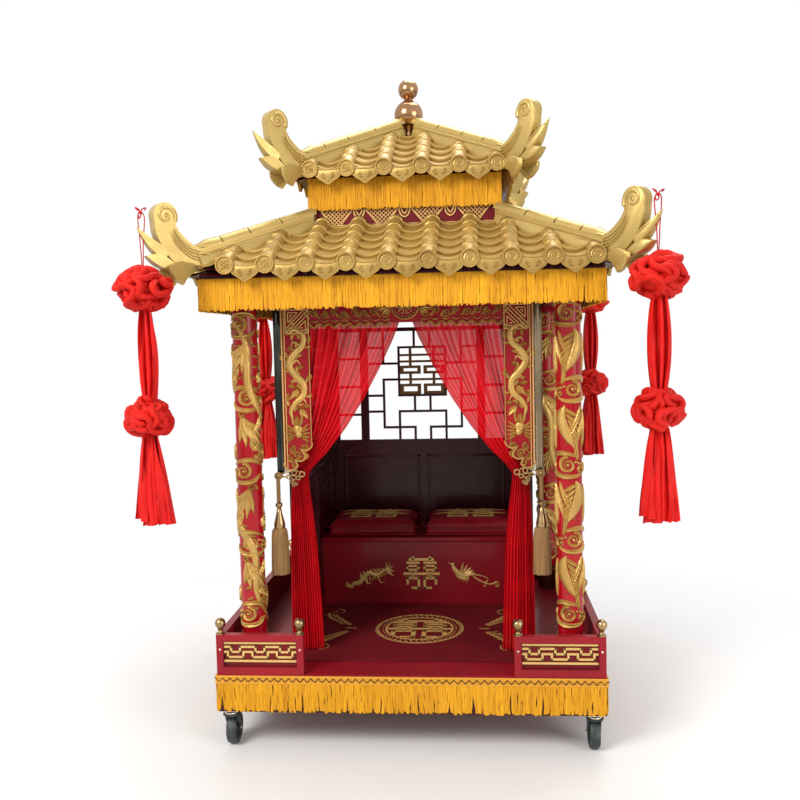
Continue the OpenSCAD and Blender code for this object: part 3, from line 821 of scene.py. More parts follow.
def spiral(cx: float, cy: float, outer: float, inner: float, start: float, turns: float,
           steps: int = 22) -> list[Point]:
    """Gives points on a spiral that winds inwards.

    Args:
        cx: Centre across.
        cy: Centre up.
        outer: First radius.
        inner: Last radius.
        start: First angle in degrees.
        turns: Turns, negative to wind clockwise.
        steps: Number of spans.

    Returns:
        The points.
    """
    out = []
    for k in range(steps + 1):
        t = k / steps
        r = outer + (inner - outer) * t ** 0.8
        a = math.radians(start) + TAU * turns * t
        out.append((cx + r * math.cos(a), cy + r * math.sin(a)))
    return out


class Section(Enum):
    """Cross-section of a carved stroke, as (share of half width, share of height)."""

    ROUND = ((-1, -0.3), (-1, 0.2), (-0.75, 0.7), (0, 1.0), (0.75, 0.7), (1, 0.2), (1, -0.3))
    GROOVED = ((-1, -0.3), (-1, 0.5), (-0.6, 1.0), (0, 0.45), (0.6, 1.0), (1, 0.5), (1, -0.3))
    FLAT = ((-1, -0.3), (-1, 0.8), (-0.85, 1.0), (0, 1.0), (0.85, 1.0), (1, 0.8), (1, -0.3))


class Taper(Enum):
    """How a stroke's width runs along it."""

    EVEN = 0
    POINTED = 1
    LEAF = 2
    FADE = 3

    def at(self, t: float) -> float:
        """Gives the share of full width at a share t of the length."""
        if self is Taper.EVEN:
            return 1.0 if 0.02 < t < 0.98 else 0.6
        if self is Taper.POINTED:
            return max(0.04, math.sin(math.pi * min(1.0, t * 1.02)) ** 0.45)
        if self is Taper.LEAF:
            return max(0.04, math.sin(math.pi * t ** 0.75))
        return max(0.05, (1 - t) ** 0.7)


@dataclass
class Carver:
    """Lays carved strokes on a surface.

    Attributes:
        mapper: Takes (across, up, height) to the surface's point.
        height: Height of a stroke at its crown.
        shape: The shape that collects the strokes.
    """

    mapper: Mapper
    height: float
    shape: Shape = field(default_factory=Shape)

    def stroke(self, points: Sequence[Point], width: float, taper: Taper = Taper.EVEN,
               section: Section = Section.ROUND, lift: float = 1.0, per_span: int = 4,
               finish: int = 0) -> None:
        """Lays one stroke along a smooth curve.

        Args:
            points: Points of the curve, (across, up).
            width: Full width at its widest.
            taper: How the width runs.
            section: Its cross-section.
            lift: Share of the carver's height.
            per_span: Samples between two points.
            finish: Index of its finish.
        """
        path = smoothed(points, per_span) if per_span > 1 else [Vector((*p, 0)) for p in points]
        rings = []
        for i, p in enumerate(path):
            along = (path[min(i + 1, len(path) - 1)] - path[max(i - 1, 0)])
            along = along.normalized() if along.length > 1e-9 else Vector((1, 0, 0))
            across = Vector((-along.y, along.x, 0))
            share = taper.at(i / (len(path) - 1))
            half = width / 2 * share
            tall = self.height * lift * (0.35 + 0.65 * share)
            rings.append([self.mapper(p.x + across.x * half * s, p.y + across.y * half * s, tall * h)
                          for s, h in section.value])
        self.shape.take(lofted(rings), finish=finish)

    def boss(self, x: float, y: float, r: float, lift: float = 1.0) -> None:
        """Lays a small dome."""
        rings = []
        for k in range(5):
            a = math.pi / 2 * k / 4
            rings.append([self.mapper(x + r * math.cos(a) * math.cos(TAU * j / 10),
                                      y + r * math.cos(a) * math.sin(TAU * j / 10),
                                      self.height * lift * (math.sin(a) - 0.2)) for j in range(10)])
        self.shape.take(lofted(rings))

    def curl(self, x: float, y: float, r: float, start: float, turns: float, width: float) -> None:
        """Lays a spiral scroll with a bead at its eye."""
        self.stroke(spiral(x, y, r, r * 0.18, start, turns), width, Taper.FADE, Section.GROOVED, per_span=2)
        self.boss(x, y, r * 0.2, 0.9)

    def leaf(self, x: float, y: float, length: float, angle: float, width: float, bend: float = 0.25) -> None:
        """Lays a pointed flame leaf that bends to one side."""
        a = math.radians(angle)
        ahead, beside = Vector((math.cos(a), math.sin(a))), Vector((-math.sin(a), math.cos(a)))
        points = []
        for t in (0.0, 0.35, 0.7, 1.0):
            p = Vector((x, y)) + ahead * length * t + beside * bend * length * math.sin(t * math.pi / 2) ** 2
            points.append((p.x, p.y))
        self.stroke(points, width, Taper.LEAF, Section.GROOVED)

    def acanthus(self, x: float, y: float, length: float, angle: float, width: float,
                 bend: float = 0.2) -> None:
        """Lays a broad leaf: a middle blade, two side blades on each flank and a curl at its root."""
        a = math.radians(angle)
        ahead, beside = Vector((math.cos(a), math.sin(a))), Vector((-math.sin(a), math.cos(a)))
        for k, (start, size, lean, wide) in enumerate(((0.0, 1.0, 0, 0.52), (0.0, 0.74, 16, 0.40),
                                                       (0.0, 0.74, -16, 0.40), (0.10, 0.52, 34, 0.34),
                                                       (0.10, 0.52, -34, 0.34))):
            root = Vector((x, y)) + ahead * length * start
            self.leaf(root.x, root.y, length * size, angle + lean, width * wide, bend * (1 if k < 1 else 0.6))
        root = Vector((x, y)) + beside * width * 0.1
        self.curl(root.x, root.y, width * 0.30, angle + 90, 1.5, width * 0.13)

    def plume(self, x: float, y: float, length: float, angle: float, spread: int = 1) -> None:
        """Lays three flame leaves from one root."""
        for k, size in ((0, 1.0), (1, 0.72), (2, 0.5)):
            self.leaf(x, y, length * size, angle + spread * 28 * k, length * 0.24, 0.22 * spread)


def flat_front(y0: float) -> Mapper:
    """Gives a mapper onto a wall that faces -Y at y0."""
    return lambda u, v, h: Vector((u, y0 - h, v))


def flat_top(z0: float) -> Mapper:
    """Gives a mapper onto a floor at z0."""
    return lambda u, v, h: Vector((u, v, z0 + h))


def round_wall(cx: float, cy: float, radius: float, facing: float = -90.0) -> Mapper:
    """Gives a mapper round an upright column.

    Args:
        cx: Axis across.
        cy: Axis front to back.
        radius: Radius of the column.
        facing: Direction in degrees that u = 0 looks.

    Returns:
        The mapper.
    """
    base = math.radians(facing)

    def place(u: float, v: float, h: float) -> Vector:
        """Places a point on the column."""
        a = base + u / radius
        return Vector((cx + (radius + h) * math.cos(a), cy + (radius + h) * math.sin(a), v))
    return place


def four_turns() -> list[Matrix]:
    """Gives the four quarter turns of the plan."""
    return [Matrix.Rotation(math.pi / 2 * k, 4, "Z") for k in range(4)]


# Double-joy ornament in a unit square: bars as (x centre, y centre, half width, half height)
JOY_BARS = (
    [(0, 0.375, 0.47, 0.036), (0, -0.025, 0.50, 0.036)]
    + [(s * 0.235, 0.43, 0.036, 0.07) for s in SIDES]
    + [(s * 0.235, y, 0.185, h) for s in SIDES for y, h in ((0.285, 0.030), (0.195, 0.027), (0.085, 0.027))]
    + [(s * x, 0.14, 0.030, 0.078) for s in SIDES for x in (0.08, 0.39)]
    + [(s * x, 0.030, 0.026, 0.040) for s in SIDES for x in (0.16, 0.31)]
    + [(s * 0.235, y, 0.185, 0.034) for s in SIDES for y in (-0.145, -0.425)]
    + [(s * x, -0.285, 0.034, 0.165) for s in SIDES for x in (0.08, 0.39)]
    + [(s * 0.235, -0.09, 0.034, 0.055) for s in SIDES])


def joy_ornament(carver: Carver, cx: float, cy: float, width: float, height: float, thick: float,
                 disc: bool = False) -> None:
    """Lays the double-joy ornament on a surface, in bars.

    Args:
        carver: The carver that places it.
        cx: Centre across.
        cy: Centre up.
        width: Full width.
        height: Full height.
        thick: Height above the surface.
        disc: Whether the bars' ends follow a circle.
    """
    for x, y, half_x, half_y in JOY_BARS:
        ends, rise = [x - half_x, x + half_x], [y - half_y, y + half_y]
        if disc:
            reach = math.sqrt(max(0.0, 0.26 - y * y))
            ends = [max(ends[0], -reach), min(ends[1], reach)]
            lift = math.sqrt(max(0.0, 0.26 - x * x))
            rise = [max(rise[0], -lift), min(rise[1], lift)]
        if ends[1] <= ends[0] or rise[1] <= rise[0]:
            continue
        bar = block((ends[0], rise[0], -0.3), (ends[1], rise[1], 1.0))
        cuts = [e for e in bar.edges if abs(e.verts[0].co.x - e.verts[1].co.x) > 1e-6]
        bmesh.ops.subdivide_edges(bar, edges=cuts, cuts=3, use_grid_fill=True)
        for vert in bar.verts:
            vert.co = carver.mapper(cx + vert.co.x * width, cy + vert.co.y * height, vert.co.z * thick)
        carver.shape.take(bar)


# ---------- roofs ----------

@dataclass
class RoofTier:
    """One tier of the tiled roof: four slopes of barrel and pan tiles and four hips.

    Attributes:
        name: Name of the tier.
        tiles: Node of the slopes.
        hips: Node of the hip ridges.
        rise: Rise per unit of run.
        rows: Barrel rows on a slope.
        shift: Shift of the rows to one side.
        inner: Half width at the top of the slopes.
        corner_in: Distance of a hip's eave corner in from the eave.
        hip_start: Distance of a hip's upper end from the axis.
        pitch: Distance between rows.
        barrel: Radius of a barrel tile.
        course: Length of tile that shows in one course.
        plate: Thickness of the deck under the tiles.
        hip_w: Width of a hip ridge.
        barrel_up: Height of a barrel tile's axis above the deck.
        hip_round: Radius of the half-round cap.
        hip_base: Height of a hip's moulded base.
    """

    name: str
    tiles: str
    hips: str
    rise: float
    rows: int
    shift: float
    inner: float
    corner_in: float
    hip_start: float
    pitch: float = 0.150
    barrel: float = 0.033
    course: float = 0.088
    plate: float = 0.020
    hip_w: float = 0.060
    barrel_up: float = 0.014
    hip_round: float = 0.027
    hip_base: float = 0.062

    def __post_init__(self) -> None:
        """Reads the tier's place from the frame."""
        lo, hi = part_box(self.tiles)
        self.half = hi.x
        self.eave_z = lo.z
        self.angle = math.atan(self.rise)
        self.gap = (self.hip_w / 2 + 0.0003) * math.sqrt(2)
        self.run = (self.half - self.inner) / math.cos(self.angle)

    def on_slope(self) -> Matrix:
        """Gives the place of the front slope: x across, y up the slope, z off its deck."""
        return shifted((0, -self.half, self.eave_z)) @ Matrix.Rotation(self.angle, 4, "X")

    def row_x(self) -> list[float]:
        """Gives the places of the barrel rows across a slope."""
        return [(i - (self.rows - 1) / 2) * self.pitch + self.shift for i in range(self.rows)]

    def barrel_row(self, x: float) -> bmesh.types.BMesh:
        """Models one row of lapped barrel tiles, each with a lip at its lower end.

        Args:
            x: Place of the row.

        Returns:
            The row.
        """
        rings = []
        z = self.plate + self.barrel_up
        start = self.plate * math.tan(self.angle)
        count = math.ceil((self.run + 0.05) / self.course)
        for k in range(count):
            y0 = start + k * self.course
            for dy, r in ((0.0, 1.0), (0.001, 1.075), (0.007, 1.085), (0.012, 1.03), (0.06, 0.99),
                          (self.course - 0.001, 0.965)):
                rings.append([Vector((x + self.barrel * r * math.cos(a), y0 + dy,
                                      z + self.barrel * r * math.sin(a)))
                              for a in (math.radians(-34 + 248 * j / 14) for j in range(15))])
        return lofted(rings, closed=False)

    def pan_row(self, x: float) -> bmesh.types.BMesh:
        """Models one row of hollow pan tiles between two barrel rows, stepped at each course.

        Args:
            x: Middle of the row.

        Returns:
            The row.
        """
        half = self.pitch / 2 - self.barrel * 0.72
        rings = []
        start = self.plate * math.tan(self.angle)
        count = math.ceil((self.run + 0.05) / self.course)
        for k in range(count):
            y0 = start + (k - 0.22) * self.course + 0.006
            for dy, up in ((0.0, -0.004), (0.001, 0.013), (0.006, 0.017), (0.014, 0.015),
                           (self.course - 0.001, 0.002)):
                ring = []
                for j in range(11):
                    t = -1 + 2 * j / 10
                    sag = (1 - t * t)
                    ring.append(Vector((x + half * t, y0 + dy - 0.010 * sag * (dy < 0.02),
                                        self.plate + up + 0.016 * (1 - sag))))
                rings.append(ring)
        return lofted(rings, closed=False)

    def round_end(self, x: float, index: int) -> Shape:
        """Models the rimmed disc that closes a barrel row, with a spiral or a flower on it.

        Args:
            x: Place of the row.
            index: Number of the row, from the left.

        Returns:
            The disc, facing -Y.
        """
        r = self.barrel * 1.06
        disc = turned([(0, -0.004), (r, -0.004), (r, 0.006), (r * 0.97, 0.009), (r * 0.84, 0.009),
                       (r * 0.80, 0.006), (r * 0.78, 0.003), (0, 0.003)], 36)
        disc.transform(Matrix.Rotation(math.pi / 2, 4, "X"))
        shape = Shape().take(disc)
        carver = Carver(lambda u, v, h: Vector((u, -0.003 - h, v)), 0.0035, shape)
        if index < 2:
            for k in range(4):
                a = TAU * (k + 0.5) / 4
                carver.leaf(0, 0, r * 0.62, math.degrees(a), r * 0.34, 0.12)
                carver.boss(r * 0.42 * math.cos(a + 0.78), r * 0.42 * math.sin(a + 0.78), r * 0.1, 0.8)
            carver.boss(0, 0, r * 0.14)
        else:
            carver.stroke(spiral(0, 0, r * 0.62, r * 0.06, 200, -2.2, 30), r * 0.17, Taper.FADE, per_span=1)
            carver.stroke(spiral(0, 0, r * 0.70, r * 0.66, 20, 0.55, 10), r * 0.10, Taper.LEAF, per_span=1)
        centre = self.on_slope() @ Vector((0, 0, self.plate + self.barrel_up))
        place = shifted((x, -self.half - 0.001, centre.z + 0.008))
        shape.bm.transform(place)
        return shape

    def drip(self, x: float) -> Shape:
        """Models a pointed drip tile below a pan row, with a rim and scrolls.

        Args:
            x: Middle of the pan row.

        Returns:
            The tile, facing -Y.
        """
        half = self.pitch / 2 - self.barrel * 0.62
        top = [(half * t, 0.015 + 0.010 * t * t) for t in (1, 0.75, 0.5, 0.25, 0, -0.25, -0.5, -0.75, -1)]
        side = [(-half * 0.98, -0.006), (-half * 0.86, -0.017), (-half * 0.58, -0.027),
                (-half * 0.26, -0.038)]
        outline = top + side + [(0, -0.048)] + [(-px, pz) for px, pz in reversed(side)]
        shape = Shape().take(cut_out(outline, 0.008, 0.0015))
        carver = Carver(lambda u, v, h: Vector((u, -0.008 - h, v)), 0.0035, shape)
        rim = [(px * 0.93, pz * 0.93 - 0.001) for px, pz in outline]
        carver.stroke(rim + rim[:1], 0.0045, section=Section.FLAT, per_span=2)
        for s in SIDES:
            carver.stroke(spiral(s * half * 0.42, -0.008, 0.009, 0.002, 90, s * 1.4, 14), 0.0032, Taper.FADE,
                          per_span=1)
            carver.leaf(s * half * 0.15, -0.022, 0.016, 90 - s * 70, 0.005, 0.2)
        carver.boss(0, -0.031, 0.003, 0.8)
        deck = self.on_slope() @ Vector((0, 0, self.plate))
        shape.bm.transform(shifted((x, -self.half + 0.006, deck.z + 0.004)))
        return shape

    def slope(self) -> Shape:
        """Models the tiles of the front slope and trims them at the hips and the top."""
        field_of_tiles = Shape()
        rows = self.row_x()
        for x in rows:
            field_of_tiles.take(self.barrel_row(x))
        pans = [x - self.pitch / 2 for x in rows] + [rows[-1] + self.pitch / 2]
        for x in pans:
            field_of_tiles.take(self.pan_row(x))
        bm = field_of_tiles.bm
        bm.transform(self.on_slope())
        for nx, ny, d in ((1, 1, self.gap), (-1, 1, self.gap)):
            normal = Vector((nx, ny, 0)).normalized()
            bmesh.ops.bisect_plane(bm, geom=bm.verts[:] + bm.edges[:] + bm.faces[:], dist=1e-6,
                                   plane_co=Vector((0, -d, 0)), plane_no=normal, clear_outer=True)
        bmesh.ops.bisect_plane(bm, geom=bm.verts[:] + bm.edges[:] + bm.faces[:], dist=1e-6,
                               plane_co=Vector((0, -self.inner, 0)), plane_no=Vector((0, 1, 0)),
                               clear_outer=True)
        bmesh.ops.bisect_plane(bm, geom=bm.verts[:] + bm.edges[:] + bm.faces[:], dist=1e-6,
                               plane_co=Vector((0, -self.half - 0.004, 0)), plane_no=Vector((0, -1, 0)),
                               clear_outer=True)
        reach = self.half - self.gap
        for i, x in enumerate(rows):
            if abs(x) < reach:
                field_of_tiles.take(self.round_end(x, i).bm)
        for x in pans:
            if abs(x) < reach - self.pitch * 0.25:
                field_of_tiles.take(self.drip(x).bm)
        return field_of_tiles

    def hip_rings(self, section: Sequence[Point], path: Sequence[tuple[float, float, float]]
                  ) -> bmesh.types.BMesh:
        """Lofts a hip's section along the diagonal plane.

        Args:
            section: Points (across, up), a closed loop.
            path: Stations (distance from the axis, height, scale of the section).

        Returns:
            The moulding, lying along +X.
        """
        rings = []
        for i, (s, z, k) in enumerate(path):
            a, b = path[max(i - 1, 0)], path[min(i + 1, len(path) - 1)]
            along = Vector((b[0] - a[0], 0, b[1] - a[1])).normalized()
            up = Vector((-along.z, 0, along.x))
            rings.append([Vector((s, 0, z)) + up * v * k + Vector((0, u * min(1.0, 0.35 + k), 0))
                          for u, v in section])
        return lofted(rings)

    def hip(self) -> Shape:
        """Models one hip along +X: moulded base, half-round cap and the upturned scroll."""
        s1 = (self.half - self.corner_in) * math.sqrt(2)
        s0 = self.hip_start
        fall = self.rise / math.sqrt(2)
        z1 = self.eave_z + self.corner_in * self.rise
        base_top = self.plate + self.hip_base
        shape = Shape()

        def deck(s: float) -> float:
            """Gives the height of the slope's underside on the diagonal."""
            return z1 + (s1 - s) * fall

        w = self.hip_w / 2
        h = base_top
        wall = [(-w, 0.0), (-w, h * 0.60), (-w * 0.90, h * 0.64), (-w * 0.90, h * 0.74),
                (-w * 1.02, h * 0.77), (-w * 1.02, h * 0.85), (-w * 0.88, h * 0.88), (-w * 0.88, h),
                (w * 0.88, h), (w * 0.88, h * 0.88), (w * 1.02, h * 0.85), (w * 1.02, h * 0.77),
                (w * 0.90, h * 0.74), (w * 0.90, h * 0.64), (w, h * 0.60), (w, 0.0)]
        straight = s1 - 0.16
        shape.take(self.hip_rings(wall,
                                  [(s, deck(s), 1.0)
                                   for s in (s0, (s0 + straight) / 2, straight, s1 - 0.05)]))
        cap = [(self.hip_round * math.cos(a), self.hip_round * math.sin(a) * 1.05)
               for a in (math.pi * j / 18 for j in range(19))]
        tip = s1 - 0.012
        joints = [s0 + (tip - s0) * t for t in (0.0, 0.30, 0.56, 0.78)]
        for a, b in zip(joints, joints[1:] + [tip]):
            stations = [(a + 0.003, 1.0), (a + 0.006, 1.05), (a + 0.012, 1.0), (b - 0.010, 0.99),
                        (b - 0.003, 0.95)]
            if b == tip:
                stations = [(a + 0.003, 1.0), (a + 0.008, 1.04)]
                stations += [(a + (b - a) * t, 1.0 - 0.80 * max(0.0, t - 0.45) / 0.55) for t in
                             (0.2, 0.45, 0.6, 0.72, 0.84, 0.93, 1.0)]
            path = []
            for s, k in stations:
                lift = 0.014 * max(0.0, (s - (tip - 0.13)) / 0.13) ** 2 if b == tip else 0.0
                path.append((s, deck(s) + base_top + lift, max(k, 0.05)))
            shape.take(self.hip_rings(cap, path))
        self.scroll(shape, s1, z1 + 0.008)
        return shape

    def scroll(self, shape: Shape, s1: float, z1: float) -> None:
        """Adds the upturned scroll with its curl, leaves and drop.

        Args:
            shape: The hip under construction.
            s1: Distance of the eave corner from the axis.
            z1: Height that the outline is drawn from.
        """
        curl = (0.093, 0.203)
        curl_r = 0.047
        neck = smoothed([(-0.165, 0.108), (-0.09, 0.093), (-0.02, 0.100), (0.032, 0.138), (0.056, 0.172)], 5)
        top = spiral(*curl, curl_r, curl_r, 205, -0.60, 14)
        back = smoothed([(0.137, 0.185), (0.132, 0.140), (0.112, 0.095), (0.075, 0.045), (0.03, 0.012),
                         (-0.03, 0.002), (-0.165, 0.062)], 5)
        outline = [(p.x, p.y) for p in neck] + [p for p in top] + [(p.x, p.y) for p in back]
        body_w = self.hip_w * 0.80
        body = cut_out(self.simplified(outline), body_w, 0.005)
        body.transform(shifted((s1, body_w / 2, z1)))
        shape.take(body)
        for side in SIDES:
            carver = Carver(lambda u, v, h, k=side: Vector((s1 + u, k * (body_w / 2 + h), z1 + v)), 0.005,
                            shape)
            coil = spiral(*curl, curl_r * 0.86, curl_r * 0.12, 205, -1.45, 30)
            runs = ((0.0, 0.010), (0.013, 0.008), (0.025, 0.007), (0.036, 0.006))
            for k, (down, width) in enumerate(runs):
                lead = [(-0.16, 0.098 - down * 0.9), (-0.08, 0.082 - down * 0.9), (-0.01, 0.088 - down),
                        (0.038 + down * 0.35, 0.122 - down * 0.75), (0.062 + down * 0.5, 0.158 - down * 0.35)]
                carver.stroke(lead, width, Taper.POINTED if k else Taper.EVEN, per_span=4)
            carver.stroke(coil, 0.016, Taper.FADE, per_span=1)
            carver.boss(*curl, 0.008, 0.9)
        leaves = (
            ([(0.085, 0.072), (0.115, 0.098), (0.150, 0.122), (0.196, 0.158)],
             [(0.196, 0.158), (0.176, 0.118), (0.150, 0.082), (0.105, 0.040)], 0.046, 0.6),
            ([(0.060, 0.030), (0.100, 0.056), (0.135, 0.064), (0.168, 0.056)],
             [(0.168, 0.056), (0.135, 0.028), (0.100, 0.012), (0.050, -0.002)], 0.050, 0.8))
        for upper, lower, width, _ in leaves:
            edge = [(p.x, p.y) for p in smoothed(upper, 4)] + [(p.x, p.y) for p in smoothed(lower, 4)][1:]
            leaf = cut_out(self.simplified(edge), width, 0.006)
            for vert in leaf.verts:
                away = max(0.0, (vert.co.x - 0.08) / 0.12)
                swell = (1 + 0.25 * math.sin(away * math.pi)) * max(0.12, 1 - away ** 2)
                vert.co.y = (vert.co.y + width / 2) * swell
            leaf.transform(shifted((s1, 0, z1)))
            shape.take(leaf)
        drop = [(p.x, p.y)
                for p in smoothed([(0.098, 0.020), (0.094, -0.008), (0.070, -0.036), (0.044, -0.046)], 4)]
        drop += [(p.x, p.y)
                 for p in smoothed([(0.044, -0.046), (0.026, -0.022), (0.0, -0.002), (-0.03, 0.012),
                                    (-0.01, 0.034)], 4)][1:]
        for side in SIDES:
            petal = cut_out(self.simplified(drop + [(0.05, 0.04)]), 0.018, 0.006)
            petal.transform(shifted((s1, side * 0.026 + 0.009, z1)) @ Matrix.Rotation(side * 0.25, 4, "Z"))
            shape.take(petal)

    @staticmethod
    def simplified(outline: Sequence[Point], least: float = 0.0035) -> list[Point]:
        """Drops points of an outline that lie closer than least to the one before."""
        out = [outline[0]]
        for p in outline[1:]:
            if math.dist(p, out[-1]) >= least:
                out.append(p)
        if math.dist(out[0], out[-1]) < least:
            out.pop()
        return out

    def deck(self) -> bmesh.types.BMesh:
        """Models the boarded underside of one slope."""
        bm = bmesh.new()
        bmesh.ops.create_cube(bm, size=1, matrix=shifted((0, self.run / 2, self.plate / 2))
                              @ Matrix.Diagonal((2 * self.half, self.run + 0.02, self.plate, 1)))
        bm.transform(self.on_slope())
        for nx in SIDES:
            bmesh.ops.bisect_plane(bm, geom=bm.verts[:] + bm.edges[:] + bm.faces[:], dist=1e-6,
                                   plane_co=Vector((0, -self.gap, 0)),
                                   plane_no=Vector((nx, 1, 0)).normalized(), clear_outer=True)
        for y, n in ((-self.inner, 1), (-self.half, -1)):
            bmesh.ops.bisect_plane(bm, geom=bm.verts[:] + bm.edges[:] + bm.faces[:], dist=1e-6,
                                   plane_co=Vector((0, y, 0)), plane_no=Vector((0, n, 0)), clear_outer=True)
        bmesh.ops.holes_fill(bm, edges=[e for e in bm.edges if e.is_boundary], sides=0)
        return bm

    def build(self) -> None:
        """Makes the tier's pieces."""
        tiles, decks, hips = Shape(), Shape(), Shape()
        slope, deck, hip = kept(self.slope().bm), kept(self.deck()), kept(self.hip().bm)
        for turn in four_turns():
            tiles.stamp(slope, turn)
            decks.stamp(deck, turn)
            hips.stamp(hip, turn @ Matrix.Rotation(math.pi / 4, 4, "Z"))
        piece(f"{self.name}_tiles", tiles, [ROOF_GILT], replaces=[self.tiles], crease=40)
        piece(f"{self.name}_roof_deck", decks, [DARK_BOARD])
        piece(f"{self.name}_hip_ridges", hips, [HIP_GILT], replaces=[self.hips], crease=48)


@dataclass
class TopFinial:
    """Two polished balls on a turned stem at the apex."""

    node: str = "top_finial"

    def build(self) -> None:
        """Turns the stem, the two balls and the collar between them."""
        lo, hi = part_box(self.node)
        big, small = 0.064, 0.045
        small_z = hi.z - small
        big_z = small_z - 0.110
        def ball(r: float, z: float, a0: float, a1: float, steps: int = 14) -> list[Point]:
            """Gives the profile of a ball between two latitudes."""
            return [(r * math.cos(math.radians(a)), z + r * math.sin(math.radians(a)))
                    for a in (a0 + (a1 - a0) * k / steps for k in range(steps + 1))]
        stem = [(0, lo.z - 0.001), (0.052, lo.z), (0.054, lo.z + 0.012), (0.040, lo.z + 0.028),
                (0.026, lo.z + 0.045), (0.023, big_z - 0.072), (0.032, big_z - 0.060)]
        profile = stem + ball(big, big_z, -58, 68) + [(0.017, big_z + 0.0625), (0.019, small_z - 0.044)]
        profile += ball(small, small_z, -62, 90)
        profile[-1] = (0, hi.z)
        shape = Shape().take(turned(profile, 56))
        piece("apex_finial", shape, [BRONZE], replaces=[self.node], crease=50)


# ---------- fringes ----------

@dataclass
class EaveFringe:
    """A hanging strand fringe on four sides under a board.

    Attributes:
        node: Node of the fringe.
        name: Name of the piece.
        pitch: Distance between strands.
        seed: Seed of the strands' small differences.
        head: Height of the woven head.
        swing: How far strands stray sideways.
        ragged: How unevenly they end.
        flat: Depth of a strand over its width.
    """

    node: str
    name: str
    pitch: float = 0.0056
    seed: int = 4
    head: float = 0.012
    swing: float = 0.0030
    ragged: float = 0.008
    flat: float = 0.8

    def strand(self, rng: random.Random, length: float) -> bpy.types.Mesh:
        """Models one flattened twisted strand that hangs from z = 0.

        Args:
            rng: Source of small differences.
            length: Its length.

        Returns:
            The strand as a kept mesh.
        """
        rings = []
        lean = rng.uniform(-1, 1) * self.swing
        sway = rng.uniform(-1, 1) * self.swing * 0.6
        for k in range(6):
            t = k / 5
            x = lean * t * t + sway * math.sin(t * 5 + lean * 900)
            y = -0.0006 * math.sin(t * 7 + sway * 2000)
            r = self.pitch * 0.52 * (1 + 0.18 * math.sin(k * 2.4 + lean * 3000)) * (1.12 if k > 3 else 1)
            turn = rng.uniform(-0.4, 0.4)
            rings.append([Vector((x + r * 1.15 * math.cos(TAU * j / 5 + turn),
                                  y + r * self.flat * math.sin(TAU * j / 5 + turn), -length * t))
                          for j in range(5)])
        return kept(lofted(rings))

    def side(self, length: float, top: float, drop: float, depth: float, rng: random.Random) -> Shape:
        """Models the fringe of one side, lying along X with its front at y = 0.

        Args:
            length: Length of the side.
            top: Height of the head's top.
            drop: Height from the top to the strands' ends.
            depth: Depth from front to back.
            rng: Source of small differences.

        Returns:
            The side.
        """
        shape = Shape().take(block((-length / 2, depth * 0.15, top - self.head), (length / 2, depth, top),
                                   0.001, 1))
        patterns = [self.strand(rng, drop - 0.002 - rng.uniform(0, self.ragged)) for _ in range(14)]
        for layer in range(2):
            count = int(length / self.pitch)
            for i in range(count):
                x = -length / 2 + (i + 0.5 + 0.5 * layer) * length / count + rng.uniform(-1, 1) * 0.0007
                if x > length / 2 or (layer and rng.random() < 0.45):
                    continue
                mirror = rng.choice(SIDES)
                stretch = 1 + rng.uniform(-0.015, 0.012)
                shape.stamp(rng.choice(patterns), shifted((x, depth * (0.32 + 0.4 * layer), top - 0.002))
                            @ Matrix.Diagonal((mirror, 1, stretch, 1)))
        return shape

    def build(self) -> None:
        """Makes the fringe's four sides as one piece."""
        lo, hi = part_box(self.node)
        rng = random.Random(self.seed)
        depth = 0.006
        fringe = Shape()
        for turn in four_turns():
            side = self.side(hi.x - lo.x - depth, hi.z, hi.z - lo.z, depth, rng)
            fringe.take(side.bm, turn @ shifted((0, lo.y, 0)))
        piece(self.name, fringe, [FRINGE_GOLD], replaces=[self.node], crease=60)


@dataclass
class DeckFringe(EaveFringe):
    """The deck's fringe, with a braid and a dark zigzag along its head.

    Attributes:
        node: Node of the fringe.
        name: Name of the piece.
        zigzag: Length of one zigzag.
    """

    node: str = "base_fringe"
    name: str = "deck_fringe"
    pitch: float = 0.0088
    seed: int = 9
    swing: float = 0.0075
    ragged: float = 0.012
    flat: float = 0.55
    zigzag: float = 0.029

    def braid(self, length: float, top: float) -> Shape:
        """Models the corded braid and its zigzag, facing -Y at y = 0.

        Args:
            length: Length of the side.
            top: Height of its top.

        Returns:
            The braid.
        """
        shape = Shape()
        for k in range(5):
            z = top - 0.004 - k * 0.0062
            shape.take(block((-length / 2, -0.0005 - 0.0012 * (k in (0, 4)), z - 0.0032),
                             (length / 2, 0.005, z + 0.0032), 0.0014, 2))
        carver = Carver(flat_front(-0.0010), 0.0028, shape)
        count = round(length / self.zigzag)
        points = []
        for i in range(2 * count + 1):
            points.append((-length / 2 + i * length / (2 * count), top - 0.0165 + 0.0075 * (-1) ** i))
        carver.stroke(points, 0.0034, section=Section.FLAT, per_span=1, finish=1)
        return shape

    def build(self) -> None:
        """Makes the strands and the braid round the deck."""
        lo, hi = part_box(self.node)
        rng = random.Random(self.seed)
        depth = 0.006
        strands, braid = Shape(), Shape()
        for k, turn in enumerate(four_turns()):
            length = (hi.x - lo.x if k % 2 == 0 else hi.y - lo.y) - 2 * depth
            front = shifted((0, lo.y if k % 2 == 0 else lo.x, 0))
            strands.take(self.side(length, hi.z - 0.030, hi.z - 0.030 - lo.z, depth, rng).bm, turn @ front)
            braid.take(self.braid(length + 2 * depth, hi.z - 0.004).bm, turn @ front)
        piece(self.name, strands, [FRINGE_GOLD], replaces=[self.node], crease=60)
        piece("deck_braid", braid, [BRAID_GOLD, ZIGZAG], crease=50)


# ---------- balustrade ----------

